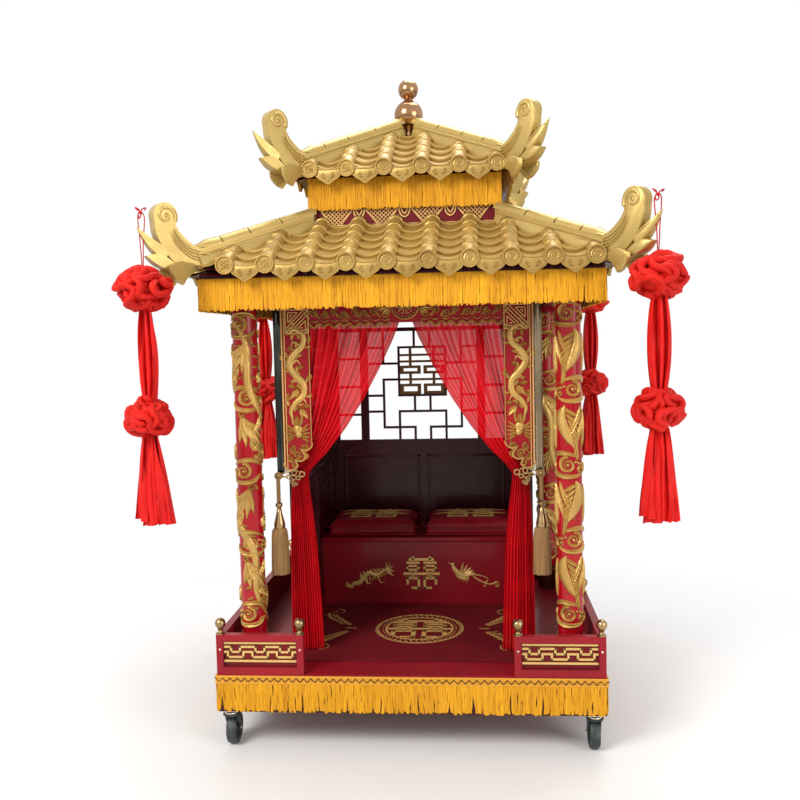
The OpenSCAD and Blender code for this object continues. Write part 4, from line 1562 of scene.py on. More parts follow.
@dataclass
class Balustrade:
    """Key-pattern frets, screws and ball finials on the rails round the deck.

    Attributes:
        frame_w: Width of the frame round a sunk panel.
        recess: Depth of the sunk panel.
        period: Length of one key.
        bar: Width of a fret's bars.
    """

    frame_w: float = 0.026
    recess: float = 0.012
    period: float = 0.104
    bar: float = 0.0085

    def __post_init__(self) -> None:
        """Reads the rails' places from the frame."""
        self.front_lo, self.front_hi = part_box("front_rails")
        self.side_lo, self.side_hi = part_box("side_rails")
        self.rear_lo, self.rear_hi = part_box("rear_rail")
        self.rail_h = self.front_hi.z - self.front_lo.z

    def fret(self, length: float) -> Shape:
        """Models the running key fret of one sunk panel, lying along X, facing -Y at y = 0.

        Args:
            length: Length of the panel.

        Returns:
            The fret, with its lowest bar at z = 0.
        """
        shape = Shape()
        b = self.bar
        h = (self.rail_h - 2 * self.frame_w) * 0.78
        deep = 0.007

        def bar_at(x0: float, x1: float, z0: float, z1: float) -> None:
            """Adds one bar of the fret."""
            shape.take(block((x0, 0, z0), (x1, deep, z1), 0.0012, 2))

        for z in (0, h - b):
            bar_at(0, length, z, z + b)
        mid = h / 2
        low, high = b * 1.85, h - b * 1.85
        count = max(2, round(length / self.period))
        step = length / count
        for i in range(count):
            x = i * step
            bar_at(x, x + step * 0.36, high - b, high)
            bar_at(x + step * 0.64, x + step, high - b, high)
            bar_at(x + step * 0.14, x + step * 0.86, low, low + b)
            bar_at(x + step * 0.36 - b, x + step * 0.36, mid - b / 2, high)
            bar_at(x + step * 0.64, x + step * 0.64 + b, mid - b / 2, high)
            bar_at(x + step * 0.14, x + step * 0.14 + b, low, mid + b / 2)
            bar_at(x + step * 0.86 - b, x + step * 0.86, low, mid + b / 2)
            bar_at(x + step * 0.36 - b, x + step * 0.5, mid - b / 2, mid + b / 2)
            bar_at(x + step * 0.5, x + step * 0.64 + b, mid - b / 2, mid + b / 2)
            bar_at(x, x + step * 0.14, mid - b / 2, mid + b / 2)
            bar_at(x + step * 0.86, x + step, mid - b / 2, mid + b / 2)
        return shape

    def runs(self) -> list[tuple[Matrix, float]]:
        """Gives the place and the length of each rail board, lying along X and facing -Y."""
        out = []
        front_l = (self.front_hi.x - self.front_lo.x) / 2 - 0.406
        y = self.front_lo.y
        for x in (self.front_lo.x, self.front_hi.x - front_l):
            out.append((shifted((x, y, self.front_lo.z)), front_l))
        joint = -0.120
        for s in SIDES:
            for y0, y1 in ((self.side_lo.y, joint - 0.0003), (joint, self.side_hi.y)):
                turn = Matrix.Rotation(s * math.pi / 2, 4, "Z")
                spot = shifted((s * self.side_hi.x, y0 if s > 0 else y1, self.side_lo.z))
                out.append((spot @ turn, y1 - y0))
        turn = Matrix.Rotation(math.pi, 4, "Z")
        out.append((shifted((self.rear_hi.x, self.rear_hi.y, self.rear_lo.z)) @ turn,
                    self.rear_hi.x - self.rear_lo.x))
        return out

    def panel_inset(self, length: float) -> Shape:
        """Models the ground of a sunk panel and the bead round it, which wear the red darkened with painted
        shade.
        """
        f, h = self.frame_w, self.rail_h
        shape = Shape().take(block((f, self.recess - 0.0012, f), (length - f, self.recess, h - f)))
        for z in (f, h - f - 0.003):
            shape.take(block((f, 0.002, z), (length - f, self.recess, z + 0.003), 0.0008, 1))
        for x in (f, length - f - 0.003):
            shape.take(block((x, 0.002, f), (x + 0.003, self.recess, h - f), 0.0008, 1))
        return shape

    def finial(self) -> bmesh.types.BMesh:
        """Turns one ball finial that stands at z = 0."""
        r = 0.021
        ball = [(r * math.cos(math.radians(a)), 0.042 + r * math.sin(math.radians(a)))
                for a in range(-66, 91, 12)]
        return turned([(0, 0), (0.0175, 0), (0.0180, 0.003), (0.0150, 0.006), (0.0105, 0.009),
                       (0.0085, 0.0135), (0.0105, 0.018), (0.0130, 0.0200),
                       (0.0100, 0.0225)] + ball + [(0, 0.042 + r)], 32)

    def build(self) -> None:
        """Makes the frets, grounds, screws and finials."""
        frets, grounds, finials, screws = Shape(), Shape(), Shape(), Shape()
        f = self.frame_w
        screw = kept(turned([(0, 0.0012), (0.0035, 0.0008), (0.0048, -0.0004), (0.0048, -0.002)], 12))
        for place, length in self.runs():
            inner = length - 2 * f - 0.0012
            fret = self.fret(inner)
            frets.take(fret.bm, place @ shifted((f + 0.0006, 0.0045, f + (self.rail_h - 2 * f) * 0.19)))
            grounds.take(self.panel_inset(length).bm, place)
            for x, z in ((0.014, self.rail_h * 0.62), (length - 0.014, self.rail_h * 0.62)):
                facing = Matrix.Rotation(math.pi / 2, 4, "X")
                screws.stamp(screw, place @ shifted((x, -0.0002, z)) @ facing)
        pattern = kept(self.finial())
        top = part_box("post_finials")[0].z
        for x, y in self.finial_spots():
            finials.stamp(pattern, shifted((x, y, top)))
        piece("rail_key_frets", frets, [FRET_GOLD], replaces=["rail_frets"], crease=30, weld=0)
        # The grounds take the darker red, painted shade of the sunk panels.
        piece("rail_panel_grounds", grounds, [SHADED_RECESS_RED], crease=30)
        piece("rail_screws", screws, [ZINC], crease=30)
        piece("rail_ball_finials", finials, [OLD_BRASS], replaces=["post_finials"],
              crease=50)

    def finial_spots(self) -> list[Point]:
        """Gives the places of the finials on the rails."""
        inset = (self.front_hi.y - self.front_lo.y) / 2
        x = self.side_hi.x - inset
        spots = [(s * px, self.front_lo.y + inset) for s in SIDES for px in (x, 0.406 + inset)]
        spots += [(s * x, -0.100) for s in SIDES]
        return spots + [(s * x, self.rear_hi.y - inset) for s in SIDES]


# ---------- columns ----------

class Creature(Enum):
    """What winds round a column."""

    DRAGON = "dragon"
    PHOENIX = "phoenix"


@dataclass
class CarvedColumn:
    """Gilt relief wound round one red column, and the brown ring at its foot.

    Attributes:
        corner: Corner of the deck.
        creature: What winds round it.
    """

    corner: str
    creature: Creature

    def __post_init__(self) -> None:
        """Reads the column's place from the frame."""
        lo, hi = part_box(f"column_{self.corner}")
        self.radius = (hi.x - lo.x) / 2
        self.x, self.y = (hi.x + lo.x) / 2, (hi.y + lo.y) / 2
        self.z0, self.z1 = lo.z + 0.135, hi.z - 0.03
        facing = -90 if self.y < 0 else 90
        self.carver = Carver(round_wall(self.x, self.y, self.radius, facing), 0.0085)

    def cloud_band(self, u: float, v: float, flip: int) -> None:
        """Carves a scalloped collar of cloud with a spiral and beads."""
        c = self.carver
        c.curl(u, v, 0.033, 90, 1.7 * flip, 0.015)
        c.curl(u + flip * 0.052, v - 0.014, 0.021, 60, -1.4 * flip, 0.010)
        c.stroke([(u - flip * 0.075, v + 0.022), (u - flip * 0.035, v + 0.044), (u + flip * 0.015, v + 0.040),
                  (u + flip * 0.060, v + 0.018)], 0.020, Taper.LEAF, Section.GROOVED)
        c.stroke([(u - flip * 0.070, v - 0.012), (u - flip * 0.042, v - 0.038), (u, v - 0.046),
                  (u + flip * 0.042, v - 0.040), (u + flip * 0.066, v - 0.020)], 0.020, Taper.LEAF,
                 Section.GROOVED)
        for k in range(4):
            c.boss(u + flip * (0.030 + 0.012 * k), v + 0.010 - 0.004 * k, 0.0055, 1.0)

    def drop_cloud(self, u: float, v: float, flip: int) -> None:
        """Carves a teardrop cloud wound from two grooved coils."""
        c = self.carver
        for r, w in ((0.030, 0.018), (0.015, 0.013)):
            c.stroke(spiral(u, v, r, r * 0.9, 200, 0.9 * flip, 12), w, Taper.EVEN, Section.GROOVED,
                     per_span=1)
        c.boss(u, v, 0.008, 1.0)
        c.stroke([(u - flip * 0.024, v + 0.014), (u - flip * 0.040, v + 0.040),
                  (u - flip * 0.034, v + 0.075)], 0.024, Taper.FADE, Section.GROOVED)

    def dragon(self) -> None:
        """Carves a dragon's winding body among cloud collars, broad leaves and teardrop clouds."""
        c = self.carver
        span = self.z1 - self.z0
        around = TAU * self.radius
        points = []
        for k in range(31):
            t = k / 30
            points.append((around * (1.55 * t - 0.2) + 0.030 * math.sin(t * 19), self.z1 - t * span * 0.99))
        c.stroke(points, 0.038, Taper.POINTED, Section.ROUND, 1.1)
        for k in range(1, 30):
            u, v = points[k]
            for side in SIDES:
                c.leaf(u + side * 0.016, v, 0.032, -90 + side * 62, 0.010, 0.2 * side)
        for i in range(5):
            v = self.z1 - 0.05 - i * 0.288
            flip = 1 if i % 2 else -1
            for turn in (0.0, 0.5):
                u = around * turn + flip * 0.012
                self.cloud_band(u, v, flip if turn == 0 else -flip)
                if i < 4:
                    c.acanthus(u - flip * 0.026, v - 0.066, 0.175, -90 + flip * 18, 0.062, 0.18 * flip)
                    c.leaf(u + flip * 0.056, v - 0.070, 0.100, -90 - flip * 10, 0.018, -0.25 * flip)
                    self.drop_cloud(u + flip * 0.050, v - 0.215, flip)

    def phoenix(self) -> None:
        """Carves scaled wings, long feathers and cloud collars."""
        c = self.carver
        around = TAU * self.radius
        for i in range(5):
            v = self.z1 - 0.03 - i * 0.292
            flip = -1 if i % 2 else 1
            for turn in (0.0, 0.5):
                u = around * turn - flip * 0.010
                self.cloud_band(u, v, flip)
                if i == 4:
                    continue
                c.stroke([(u + flip * 0.030, v - 0.062), (u + flip * 0.048, v - 0.115),
                          (u + flip * 0.020, v - 0.180), (u - flip * 0.020, v - 0.240)], 0.046, Taper.LEAF,
                         Section.ROUND, 1.15)
                for k in range(8):
                    d = k / 7
                    c.leaf(u + flip * (0.034 - 0.045 * d), v - 0.070 - 0.150 * d, 0.080 - 0.022 * d,
                           -90 - flip * (44 - 7 * k), 0.016, -0.18 * flip)
                for k in range(4):
                    c.leaf(u - flip * (0.035 + 0.012 * k), v - 0.064 - 0.020 * k, 0.165 - 0.02 * k,
                           -90 + flip * (14 - 8 * k), 0.019, 0.14 * flip)
                c.leaf(u + flip * 0.080, v - 0.080, 0.130, -90 - flip * 4, 0.020, 0.18 * flip)

    def foot(self) -> None:
        """Carves the thin gold line with its cloud point round the foot ring."""
        _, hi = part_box("column_rings")
        around = TAU * (self.radius + 0.0035)
        top = hi.z - 0.008
        c = self.carver
        points = []
        count = 24
        for k in range(count + 1):
            t = k / count
            u = -around / 2 + around * t
            wave = abs(((t * 4) % 1) - 0.5) * 2
            points.append((u, top - 0.016 * (1 - wave) ** 0.6))
        ring = Carver(round_wall(self.x, self.y, self.radius + 0.0032, -90), 0.002, c.shape)
        ring.stroke(points, 0.004, per_span=2)

    def build(self) -> None:
        """Makes the relief."""
        if self.creature is Creature.DRAGON:
            self.dragon()
        else:
            self.phoenix()
        self.foot()
        piece(f"column_{self.corner}_{self.creature.value}_relief", self.carver.shape, [CARVED_GOLD],
              crease=50, weld=0)


# ---------- neck ----------

@dataclass
class NeckFrets:
    """Gold lattice of crossed bars and heart loops on the neck between the roofs."""

    node: str = "neck_frets"
    bar: float = 0.0048
    groups: int = 4

    def build(self) -> None:
        """Makes the four lattices as one piece."""
        lo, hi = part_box(self.node)
        half = hi.x - 0.006
        z0, z1 = lo.z, hi.z
        h = z1 - z0
        y0 = lo.y + 0.006
        face = Shape()
        carver = Carver(flat_front(y0), 0.0052, face)
        pitch = 0.0165
        width = 2 * half / self.groups
        for g in range(self.groups):
            mid = -half + width * (g + 0.5)
            reach = width * 0.42
            for lean in SIDES:
                k = -reach - h
                while k < reach + h:
                    pts = []
                    for z in (z0, z1):
                        pts.append((mid + k + lean * (z - z0 - h / 2), z))
                    inside = self.clipped(pts[0], pts[1], mid, reach, z0, h)
                    if inside:
                        carver.stroke(inside, self.bar, section=Section.FLAT,
                                      lift=0.8 if lean > 0 else 0.65, per_span=1)
                    k += pitch
            for s in SIDES:
                carver.stroke([(mid + s * reach, z1), (mid + s * reach * 0.22, z0 + 0.004)], self.bar * 1.5,
                              section=Section.FLAT, per_span=1)
            gap = mid + width / 2
            if g < self.groups - 1:
                self.heart(carver, gap, z1 - 0.002)
        for z in (z0 + 0.003, z1 - 0.003):
            carver.stroke([(-half, z), (half, z)], 0.007, section=Section.FLAT, per_span=1)
        for x in (-half + 0.004, half - 0.004):
            carver.stroke([(x, z0), (x, z1)], 0.008, section=Section.FLAT, per_span=1)
        frets = Shape()
        pattern = kept(face.bm)
        for turn in four_turns():
            frets.stamp(pattern, turn)
        piece("neck_lattice", frets, [FRET_GOLD], replaces=[self.node], crease=40, weld=0)

    def clipped(self, a: Point, b: Point, mid: float, reach: float, z0: float, h: float) -> list[Point]:
        """Keeps the part of a slanted bar that lies in a lattice group.

        Args:
            a: Lower end.
            b: Upper end.
            mid: Middle of the group.
            reach: Half width of the group at its top.
            z0: Foot of the group.
            h: Height of the group.

        Returns:
            The two ends, or an empty list.
        """
        kept_points = []
        for k in range(41):
            t = k / 40
            x, z = a[0] + (b[0] - a[0]) * t, a[1] + (b[1] - a[1]) * t
            if abs(x - mid) <= reach * (0.22 + 0.78 * (z - z0) / h):
                kept_points.append((x, z))
        return [kept_points[0], kept_points[-1]] if len(kept_points) > 4 else []

    def heart(self, carver: Carver, x: float, top: float) -> None:
        """Lays a U-shaped loop with a heart hung in it."""
        carver.stroke([(x - 0.020, top), (x - 0.021, top - 0.022), (x - 0.013, top - 0.040), (x, top - 0.047),
                       (x + 0.013, top - 0.040), (x + 0.021, top - 0.022), (x + 0.020, top)], 0.0055,
                      section=Section.FLAT)
        for s in SIDES:
            carver.stroke([(x, top - 0.014), (x + s * 0.006, top - 0.006), (x + s * 0.012, top - 0.012),
                           (x + s * 0.009, top - 0.024), (x, top - 0.036)], 0.005, section=Section.FLAT)


# ---------- cabin ----------

@dataclass
class CabinFront:
    """Dragon panels, lintel, edge strips and corner frets round the entrance."""

    def __post_init__(self) -> None:
        """Reads the front's place from the frame."""
        lo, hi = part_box("dragon_panel_right")
        self.inner, self.outer = lo.x, hi.x
        self.face, self.back = lo.y, hi.y
        self.low, self.top = lo.z, hi.z
        self.mid = (self.inner + self.outer) / 2

    def wing_outline(self) -> list[Point]:
        """Gives the outline of the right panel, its lower end cut in three cloud lobes."""
        inner, outer, low = self.inner, self.outer, self.low
        lobes: list[Point] = []
        for cx, cz, r, a0, a1 in ((outer - 0.030, low + 0.032, 0.030, 0, -155),
                                  (outer - 0.066, low + 0.064, 0.026, -35, -170),
                                  (inner + 0.030, low + 0.112, 0.030, -40, -180)):
            lobes += [(cx + r * math.cos(math.radians(a0 + (a1 - a0) * k / 9)),
                       cz + r * math.sin(math.radians(a0 + (a1 - a0) * k / 9))) for k in range(10)]
        return [(inner, self.top), (outer, self.top)] + lobes

    def wing(self, side: int) -> None:
        """Makes one dragon panel: red board, gold rim and carved dragon.

        Args:
            side: -1 for the left, 1 for the right.
        """
        outline = self.wing_outline()
        board = Shape().take(cut_out(outline, self.back - self.face, 0.0015))
        board.bm.transform(shifted((0, self.back, 0)))
        gold = Shape()
        c = Carver(flat_front(self.face), 0.006, gold)
        lobes = [p for p in outline[2:]]
        c.stroke(lobes, 0.006, section=Section.FLAT, per_span=1)
        c.stroke([(self.inner + 0.003, self.top), (self.inner + 0.003, lobes[-1][1])], 0.005,
                 section=Section.FLAT, per_span=1)
        self.dragon(c)
        for shape in (board, gold):
            if side < 0:
                shape.bm.transform(Matrix.Diagonal((-1, 1, 1, 1)))
        name = "left" if side < 0 else "right"
        piece(f"dragon_board_{name}", board, [RED_FRONT], replaces=[f"dragon_panel_{name}"],
              crease=30)
        piece(f"dragon_relief_{name}", gold, [CARVED_GOLD], crease=50, weld=0)

    def dragon(self, c: Carver) -> None:
        """Carves a descending dragon with legs, flames, a maned head and clouds below."""
        x, z = self.mid - 0.002, self.top - 0.240
        c.curl(x + 0.018, z + 0.052, 0.022, 200, -1.3, 0.010)
        body = [(x + 0.034, z + 0.040), (x + 0.004, z + 0.062), (x - 0.030, z + 0.040),
                (x - 0.026, z - 0.005), (x + 0.010, z - 0.040), (x + 0.030, z - 0.080),
                (x + 0.006, z - 0.122), (x - 0.026, z - 0.158), (x - 0.026, z - 0.205),
                (x + 0.008, z - 0.238), (x + 0.028, z - 0.275), (x + 0.010, z - 0.320)]
        c.stroke(body, 0.030, Taper.POINTED, Section.ROUND, 1.5)
        spine = smoothed(body, 4)
        for i in range(2, len(spine) - 3, 2):
            p, q = spine[i], spine[i + 1]
            heading = math.degrees(math.atan2(q.y - p.y, q.x - p.x))
            side = 1 if (i // 2) % 2 else -1
            normal = math.radians(heading + 90 * side)
            c.leaf(p.x + 0.012 * math.cos(normal), p.y + 0.012 * math.sin(normal), 0.030,
                   heading + 180 - side * 58, 0.012, 0.25 * side)
        for i, side in ((3, 1), (5, -1), (7, 1), (9, -1)):
            px, pz = body[i]
            c.stroke([(px + side * 0.012, pz + 0.004), (px + side * 0.036, pz + 0.016),
                      (px + side * 0.048, pz - 0.010)], 0.014, Taper.FADE, Section.ROUND)
            for k in range(4):
                c.leaf(px + side * 0.045, pz - 0.004, 0.021, -90 + side * (k - 1.5) * 36, 0.0065, 0.15 * side)
            c.acanthus(px + side * 0.020, pz - 0.022, 0.054, -90 + side * 26, 0.034, 0.2 * side)
            c.curl(px - side * 0.024, pz + 0.026, 0.013, 90, 1.4 * side, 0.008)
        hx, hz = x + 0.002, z - 0.345
        c.boss(hx, hz, 0.021, 1.8)
        c.boss(hx - 0.004, hz - 0.022, 0.015, 1.6)
        for s in SIDES:
            c.leaf(hx + s * 0.010, hz + 0.012, 0.056, 90 - s * 34, 0.011, 0.3 * s)
            c.leaf(hx + s * 0.004, hz + 0.014, 0.044, 90 - s * 12, 0.009, 0.2 * s)
            c.stroke([(hx + s * 0.008, hz - 0.022), (hx + s * 0.034, hz - 0.030),
                      (hx + s * 0.036, hz - 0.058), (hx + s * 0.048, hz - 0.070)], 0.006, Taper.FADE)
            for k in range(5):
                c.leaf(hx + s * 0.014, hz - 0.002 - 0.007 * k, 0.044, 90 - s * (66 + 17 * k), 0.009, 0.2 * s)
            c.boss(hx + s * 0.008, hz + 0.006, 0.004, 2.4)
        for k, (dx, dz, r) in enumerate(((0.024, -0.080, 0.015), (-0.026, -0.076, 0.015),
                                         (0.000, -0.104, 0.016), (0.032, -0.118, 0.014),
                                         (0.014, -0.142, 0.015), (0.040, -0.160, 0.013),
                                         (0.034, -0.190, 0.013), (-0.030, -0.108, 0.011))):
            if hz + dz - r > self.low + 0.010:
                c.curl(hx + dx, hz + dz, r, 90 + 120 * k, 1.4 * (-1) ** k, 0.0085)
                c.stroke([(hx + dx - r, hz + dz - 0.004), (hx + dx, hz + dz - r * 1.1),
                          (hx + dx + r, hz + dz - 0.002)], 0.008, Taper.LEAF, Section.GROOVED)

    def corner_fret(self, side: int) -> Shape:
        """Models one square corner fret of nested triangles and slanted bars.

        Args:
            side: -1 for the left, 1 for the right.

        Returns:
            The fret.
        """
        lo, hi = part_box("corner_brackets")
        size = hi.z - lo.z
        shape = Shape()
        c = Carver(flat_front(hi.y), hi.y - lo.y, shape)
        x0 = hi.x - size

        def at(u: float, v: float) -> Point:
            """Places a point given in shares of the fret's size."""
            return (side * (x0 + u * size), lo.z + v * size)

        b = 0.0065
        outer_frame = ((0.03, 0.03), (0.97, 0.03), (0.97, 0.97), (0.03, 0.97), (0.03, 0.03))
        lines = [outer_frame, ((0.97, 0.03), (0.03, 0.97)), ((0.80, 0.03), (0.03, 0.80)),
                 ((0.97, 0.20), (0.20, 0.97)),
                 ((0.34, 0.14), (0.14, 0.14), (0.14, 0.54), (0.54, 0.14), (0.34, 0.14)),
                 ((0.24, 0.24), (0.34, 0.24)),
                 ((0.66, 0.86), (0.86, 0.86), (0.86, 0.46), (0.46, 0.86), (0.66, 0.86)),
                 ((0.66, 0.76), (0.76, 0.76), (0.76, 0.66))]
        for line in lines:
            for p, q in zip(line, line[1:]):
                c.stroke([at(*p), at(*q)], b, section=Section.FLAT, per_span=1)
        return shape

    def lintel(self) -> None:
        """Makes the lintel's gold clouds, its scalloped lower edge and the middle medallion."""
        lo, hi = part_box("lintel")
        gold = Shape()
        c = Carver(flat_front(lo.y), 0.006, gold)
        half = hi.x
        z = lo.z
        count = 8
        for s in SIDES:
            for i in range(count):
                x0 = s * (0.060 + (half - 0.060) * i / count)
                x1 = s * (0.060 + (half - 0.060) * (i + 1) / count)
                mid, dip = (x0 + x1) / 2, 0.012 + 0.006 * (i % 2)
                c.stroke([(x0, z + 0.004), (mid, z - dip + 0.004), (x1, z + 0.004)], 0.009,
                         section=Section.GROOVED)
                r = 0.018
                c.curl(mid, z + 0.036 + 0.012 * (i % 2), r, 90 + 60 * i, s * 1.7 * (-1) ** i, 0.0075)
                c.leaf(mid + s * 0.016, z + 0.022, 0.040, 90 - s * 60, 0.011, 0.3 * s)
                c.stroke([(x0, z + 0.016), (mid, z + 0.010), (x1, z + 0.020)], 0.006, Taper.LEAF)
                c.curl(mid + s * 0.020, z + 0.085, r * 0.9, 200 + 80 * i, -s * 1.6, 0.007)
                c.leaf(mid - s * 0.01, z + 0.062, 0.036, 90 + s * 40, 0.010, -0.3 * s)
        oval = [(0.052 * math.cos(TAU * k / 28), z + 0.060 + 0.046 * math.sin(TAU * k / 28))
                for k in range(29)]
        c.stroke(oval, 0.008, section=Section.ROUND, per_span=1, lift=1.4)
        for k in range(20):
            a = TAU * k / 20
            c.boss(0.042 * math.cos(a), z + 0.060 + 0.037 * math.sin(a), 0.0035, 0.9)
        joy_ornament(c, 0, z + 0.060, 0.062, 0.056, 0.004, True)
        for s in SIDES:
            c.plume(s * 0.058, z + 0.055, 0.060, 90 - s * 78, -s)
        piece("lintel_relief", gold, [CARVED_GOLD], crease=50, weld=0)
        lip = Shape()
        for s in SIDES:
            for i in range(count):
                x0 = s * (0.060 + (half - 0.060) * i / count)
                x1 = s * (0.060 + (half - 0.060) * (i + 1) / count)
                dip = 0.012 + 0.006 * (i % 2)
                arc = [(x0 + (x1 - x0) * k / 8, z + 0.002 - dip * math.sin(math.pi * k / 8))
                       for k in range(9)]
                if s < 0:
                    arc.reverse()
                lip.take(cut_out(arc + [(arc[-1][0], z + 0.003), (arc[0][0], z + 0.003)], 0.010, 0.0))
        lip.bm.transform(shifted((0, hi.y - 0.002, 0)))
        piece("lintel_scallops", lip, [RED_FRONT], crease=40, weld=0)

    def strips(self) -> None:
        """Makes the polished bars and the thin gold beads beside the panels."""
        lo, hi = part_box("edge_strips")
        width = 0.030
        # The left bar wears the near-black metal, a painted dark reflection; the right bar shows the brass.
        for side, finish, name in ((-1, DARK_REFLECTION_BAR, "left"), (1, BRASS_BAR, "right")):
            x0, x1 = sorted((side * (hi.x - width), side * hi.x))
            bar = Shape().take(block((x0 + 0.0005, lo.y, lo.z), (x1, hi.y, hi.z), 0.004, 3))
            bar.take(block((x0 + 0.010, lo.y - 0.0012, lo.z + 0.01), (x0 + 0.020, lo.y + 0.002, hi.z),
                           0.001, 1))
            replaced = ["edge_strips"] if side < 0 else []
            piece(f"edge_bar_{name}", bar, [finish], replaces=replaced, crease=40)
        beads = Shape()
        for side in SIDES:
            for near, w in ((0.512, 0.006), (0.500, 0.004)):
                x0, x1 = sorted((side * (near - w - 0.004), side * (near - 0.004)))
                beads.take(block((x0, lo.y - 0.004, lo.z + 0.01), (x1, lo.y + 0.001, hi.z), 0.0012, 2))
        piece("edge_beads", beads, [FRET_GOLD], crease=40)

    def build(self) -> None:
        """Makes the front's pieces."""
        for side in SIDES:
            self.wing(side)
        self.lintel()
        frets = Shape()
        for side in SIDES:
            frets.take(self.corner_fret(side).bm)
        piece("corner_frets", frets, [FRET_GOLD], replaces=["corner_brackets"], crease=40,
              weld=0)
        self.strips()
        dress(RED_FRONT, "lintel")


@dataclass
class CabinWalls:
    """Finishes of the walls and windows, with mouldings on the lower panels."""

    def build(self) -> None:
        """Dresses the walls and adds a raised field to each lower panel."""
        dress(DARK_BOARD, "cabin_posts", "back_panel", "side_panels", "back_lattice", "side_lattices")
        dress(BRONZE_PAINT, "happiness_panel")
        lo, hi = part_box("side_panels")
        fields = Shape()
        bead = 0.012
        for s in SIDES:
            for y0, y1 in ((lo.y + 0.05, (lo.y + hi.y) / 2 - 0.02), ((lo.y + hi.y) / 2 + 0.02, hi.y - 0.05)):
                z0, z1 = lo.z + 0.06, hi.z - 0.06
                for face, out in ((s * hi.x, s), (s * (hi.x - 0.018), -s)):
                    xs = sorted((face - out * 0.001, face + out * 0.004))
                    for a, b in (((y0, z0), (y1, z0 + bead)), ((y0, z1 - bead), (y1, z1)),
                                 ((y0, z0), (y0 + bead, z1)), ((y1 - bead, z0), (y1, z1))):
                        fields.take(block((xs[0], a[0], a[1]), (xs[1], b[0], b[1]), 0.0018, 2))
        lo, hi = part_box("back_panel")
        z0, z1 = lo.z + 0.06, hi.z - 0.06
        for x0, x1 in ((lo.x + 0.04, -0.02), (0.02, hi.x - 0.04)):
            for face, out in ((lo.y, -1), (hi.y, 1)):
                ys = sorted((face - out * 0.001, face + out * 0.004))
                for a, b in (((x0, z0), (x1, z0 + bead)), ((x0, z1 - bead), (x1, z1)),
                             ((x0, z0), (x0 + bead, z1)), ((x1 - bead, z0), (x1, z1))):
                    fields.take(block((a[0], ys[0], a[1]), (b[0], ys[1], b[1]), 0.0018, 2))
        piece("wall_panel_beads", fields, [DARK_BOARD], crease=35, weld=0)


@dataclass
class Bench:
    """The bench front with its gold roundel, dragon and phoenix, and the board on it."""

    def roundel(self, c: Carver, cx: float, cz: float, r: float) -> None:
        """Lays the round double-joy emblem: bars whose ends follow a circle."""
        joy_ornament(c, cx, cz + 0.001, 2 * r * 0.98, 2 * r * 0.98, 0.003, True)

    def creatures(self, c: Carver, z: float) -> None:
        """Lays the small dragon on the left and the phoenix on the right."""
        c.stroke([(-0.365, z - 0.050), (-0.350, z - 0.062), (-0.330, z - 0.045), (-0.305, z - 0.040),
                  (-0.285, z - 0.012), (-0.255, z + 0.008), (-0.225, z - 0.004), (-0.195, z + 0.012),
                  (-0.170, z + 0.022)], 0.022, Taper.POINTED, Section.ROUND)
        c.curl(-0.362, z - 0.052, 0.014, 90, 1.6, 0.006)
        for k in range(7):
            t = k / 6
            c.leaf(-0.30 + 0.13 * t, z - 0.022 + 0.042 * t, 0.034, 70 + 12 * k, 0.009, 0.3)
            c.leaf(-0.27 + 0.10 * t, z - 0.012 + 0.022 * t, 0.026, -60 - 10 * k, 0.008, -0.3)
        for a in (20, 45, 70, -15, -45):
            c.leaf(-0.175, z + 0.020, 0.050, a, 0.010, 0.2)
        c.boss(-0.168, z + 0.022, 0.015, 1.5)
        c.boss(-0.150, z + 0.018, 0.009, 1.2)
        c.stroke([(-0.285, z - 0.012), (-0.262, z - 0.045), (-0.240, z - 0.030)], 0.009, Taper.FADE)
        c.stroke([(-0.215, z - 0.006), (-0.200, z - 0.040), (-0.175, z - 0.028)], 0.009, Taper.FADE)
        c.stroke([(0.150, z + 0.055), (0.158, z + 0.030), (0.185, z + 0.002), (0.215, z - 0.008),
                  (0.245, z + 0.004)], 0.022, Taper.POINTED, Section.ROUND)
        c.boss(0.152, z + 0.050, 0.009, 1.3)
        c.leaf(0.150, z + 0.052, 0.024, 150, 0.006, 0.2)
        for k in range(6):
            c.leaf(0.185 + 0.008 * k, z + 0.004, 0.060 - 0.004 * k, 55 - 16 * k, 0.011, 0.25)
            c.leaf(0.200 + 0.006 * k, z - 0.004, 0.040, 190 + 14 * k, 0.009, -0.2)
        c.stroke([(0.240, z + 0.002), (0.290, z - 0.006), (0.322, z - 0.022), (0.300, z - 0.040),
                  (0.270, z - 0.028)], 0.007, Taper.FADE)
        c.stroke([(0.250, z - 0.010), (0.290, z - 0.034), (0.335, z - 0.048), (0.365, z - 0.034),
                  (0.372, z - 0.052), (0.355, z - 0.062)], 0.009, Taper.FADE)
        c.curl(0.362, z - 0.050, 0.012, 0, -1.4, 0.005)
        c.curl(0.305, z - 0.052, 0.009, 180, 1.3, 0.004)

    def build(self) -> None:
        """Makes the gilding of the front, the board's nosing and the side pieces' finish."""
        lo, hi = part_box("bench_box")
        z = (lo.z + hi.z) / 2
        c = Carver(flat_front(lo.y), 0.0035)
        self.roundel(c, 0, z - 0.002, 0.090)
        self.creatures(c, z - 0.010)
        piece("bench_emblems", c.shape, [FRET_GOLD], crease=50, weld=0)
        dress(RED_BOARD, "bench_box", "bench_board")
        blo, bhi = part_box("bench_board")
        nosing = Shape().take(block((blo.x, blo.y - 0.002, blo.z - 0.004), (bhi.x, blo.y + 0.006, bhi.z),
                                    0.003, 3))
        piece("bench_nosing", nosing, [RED_BOARD])


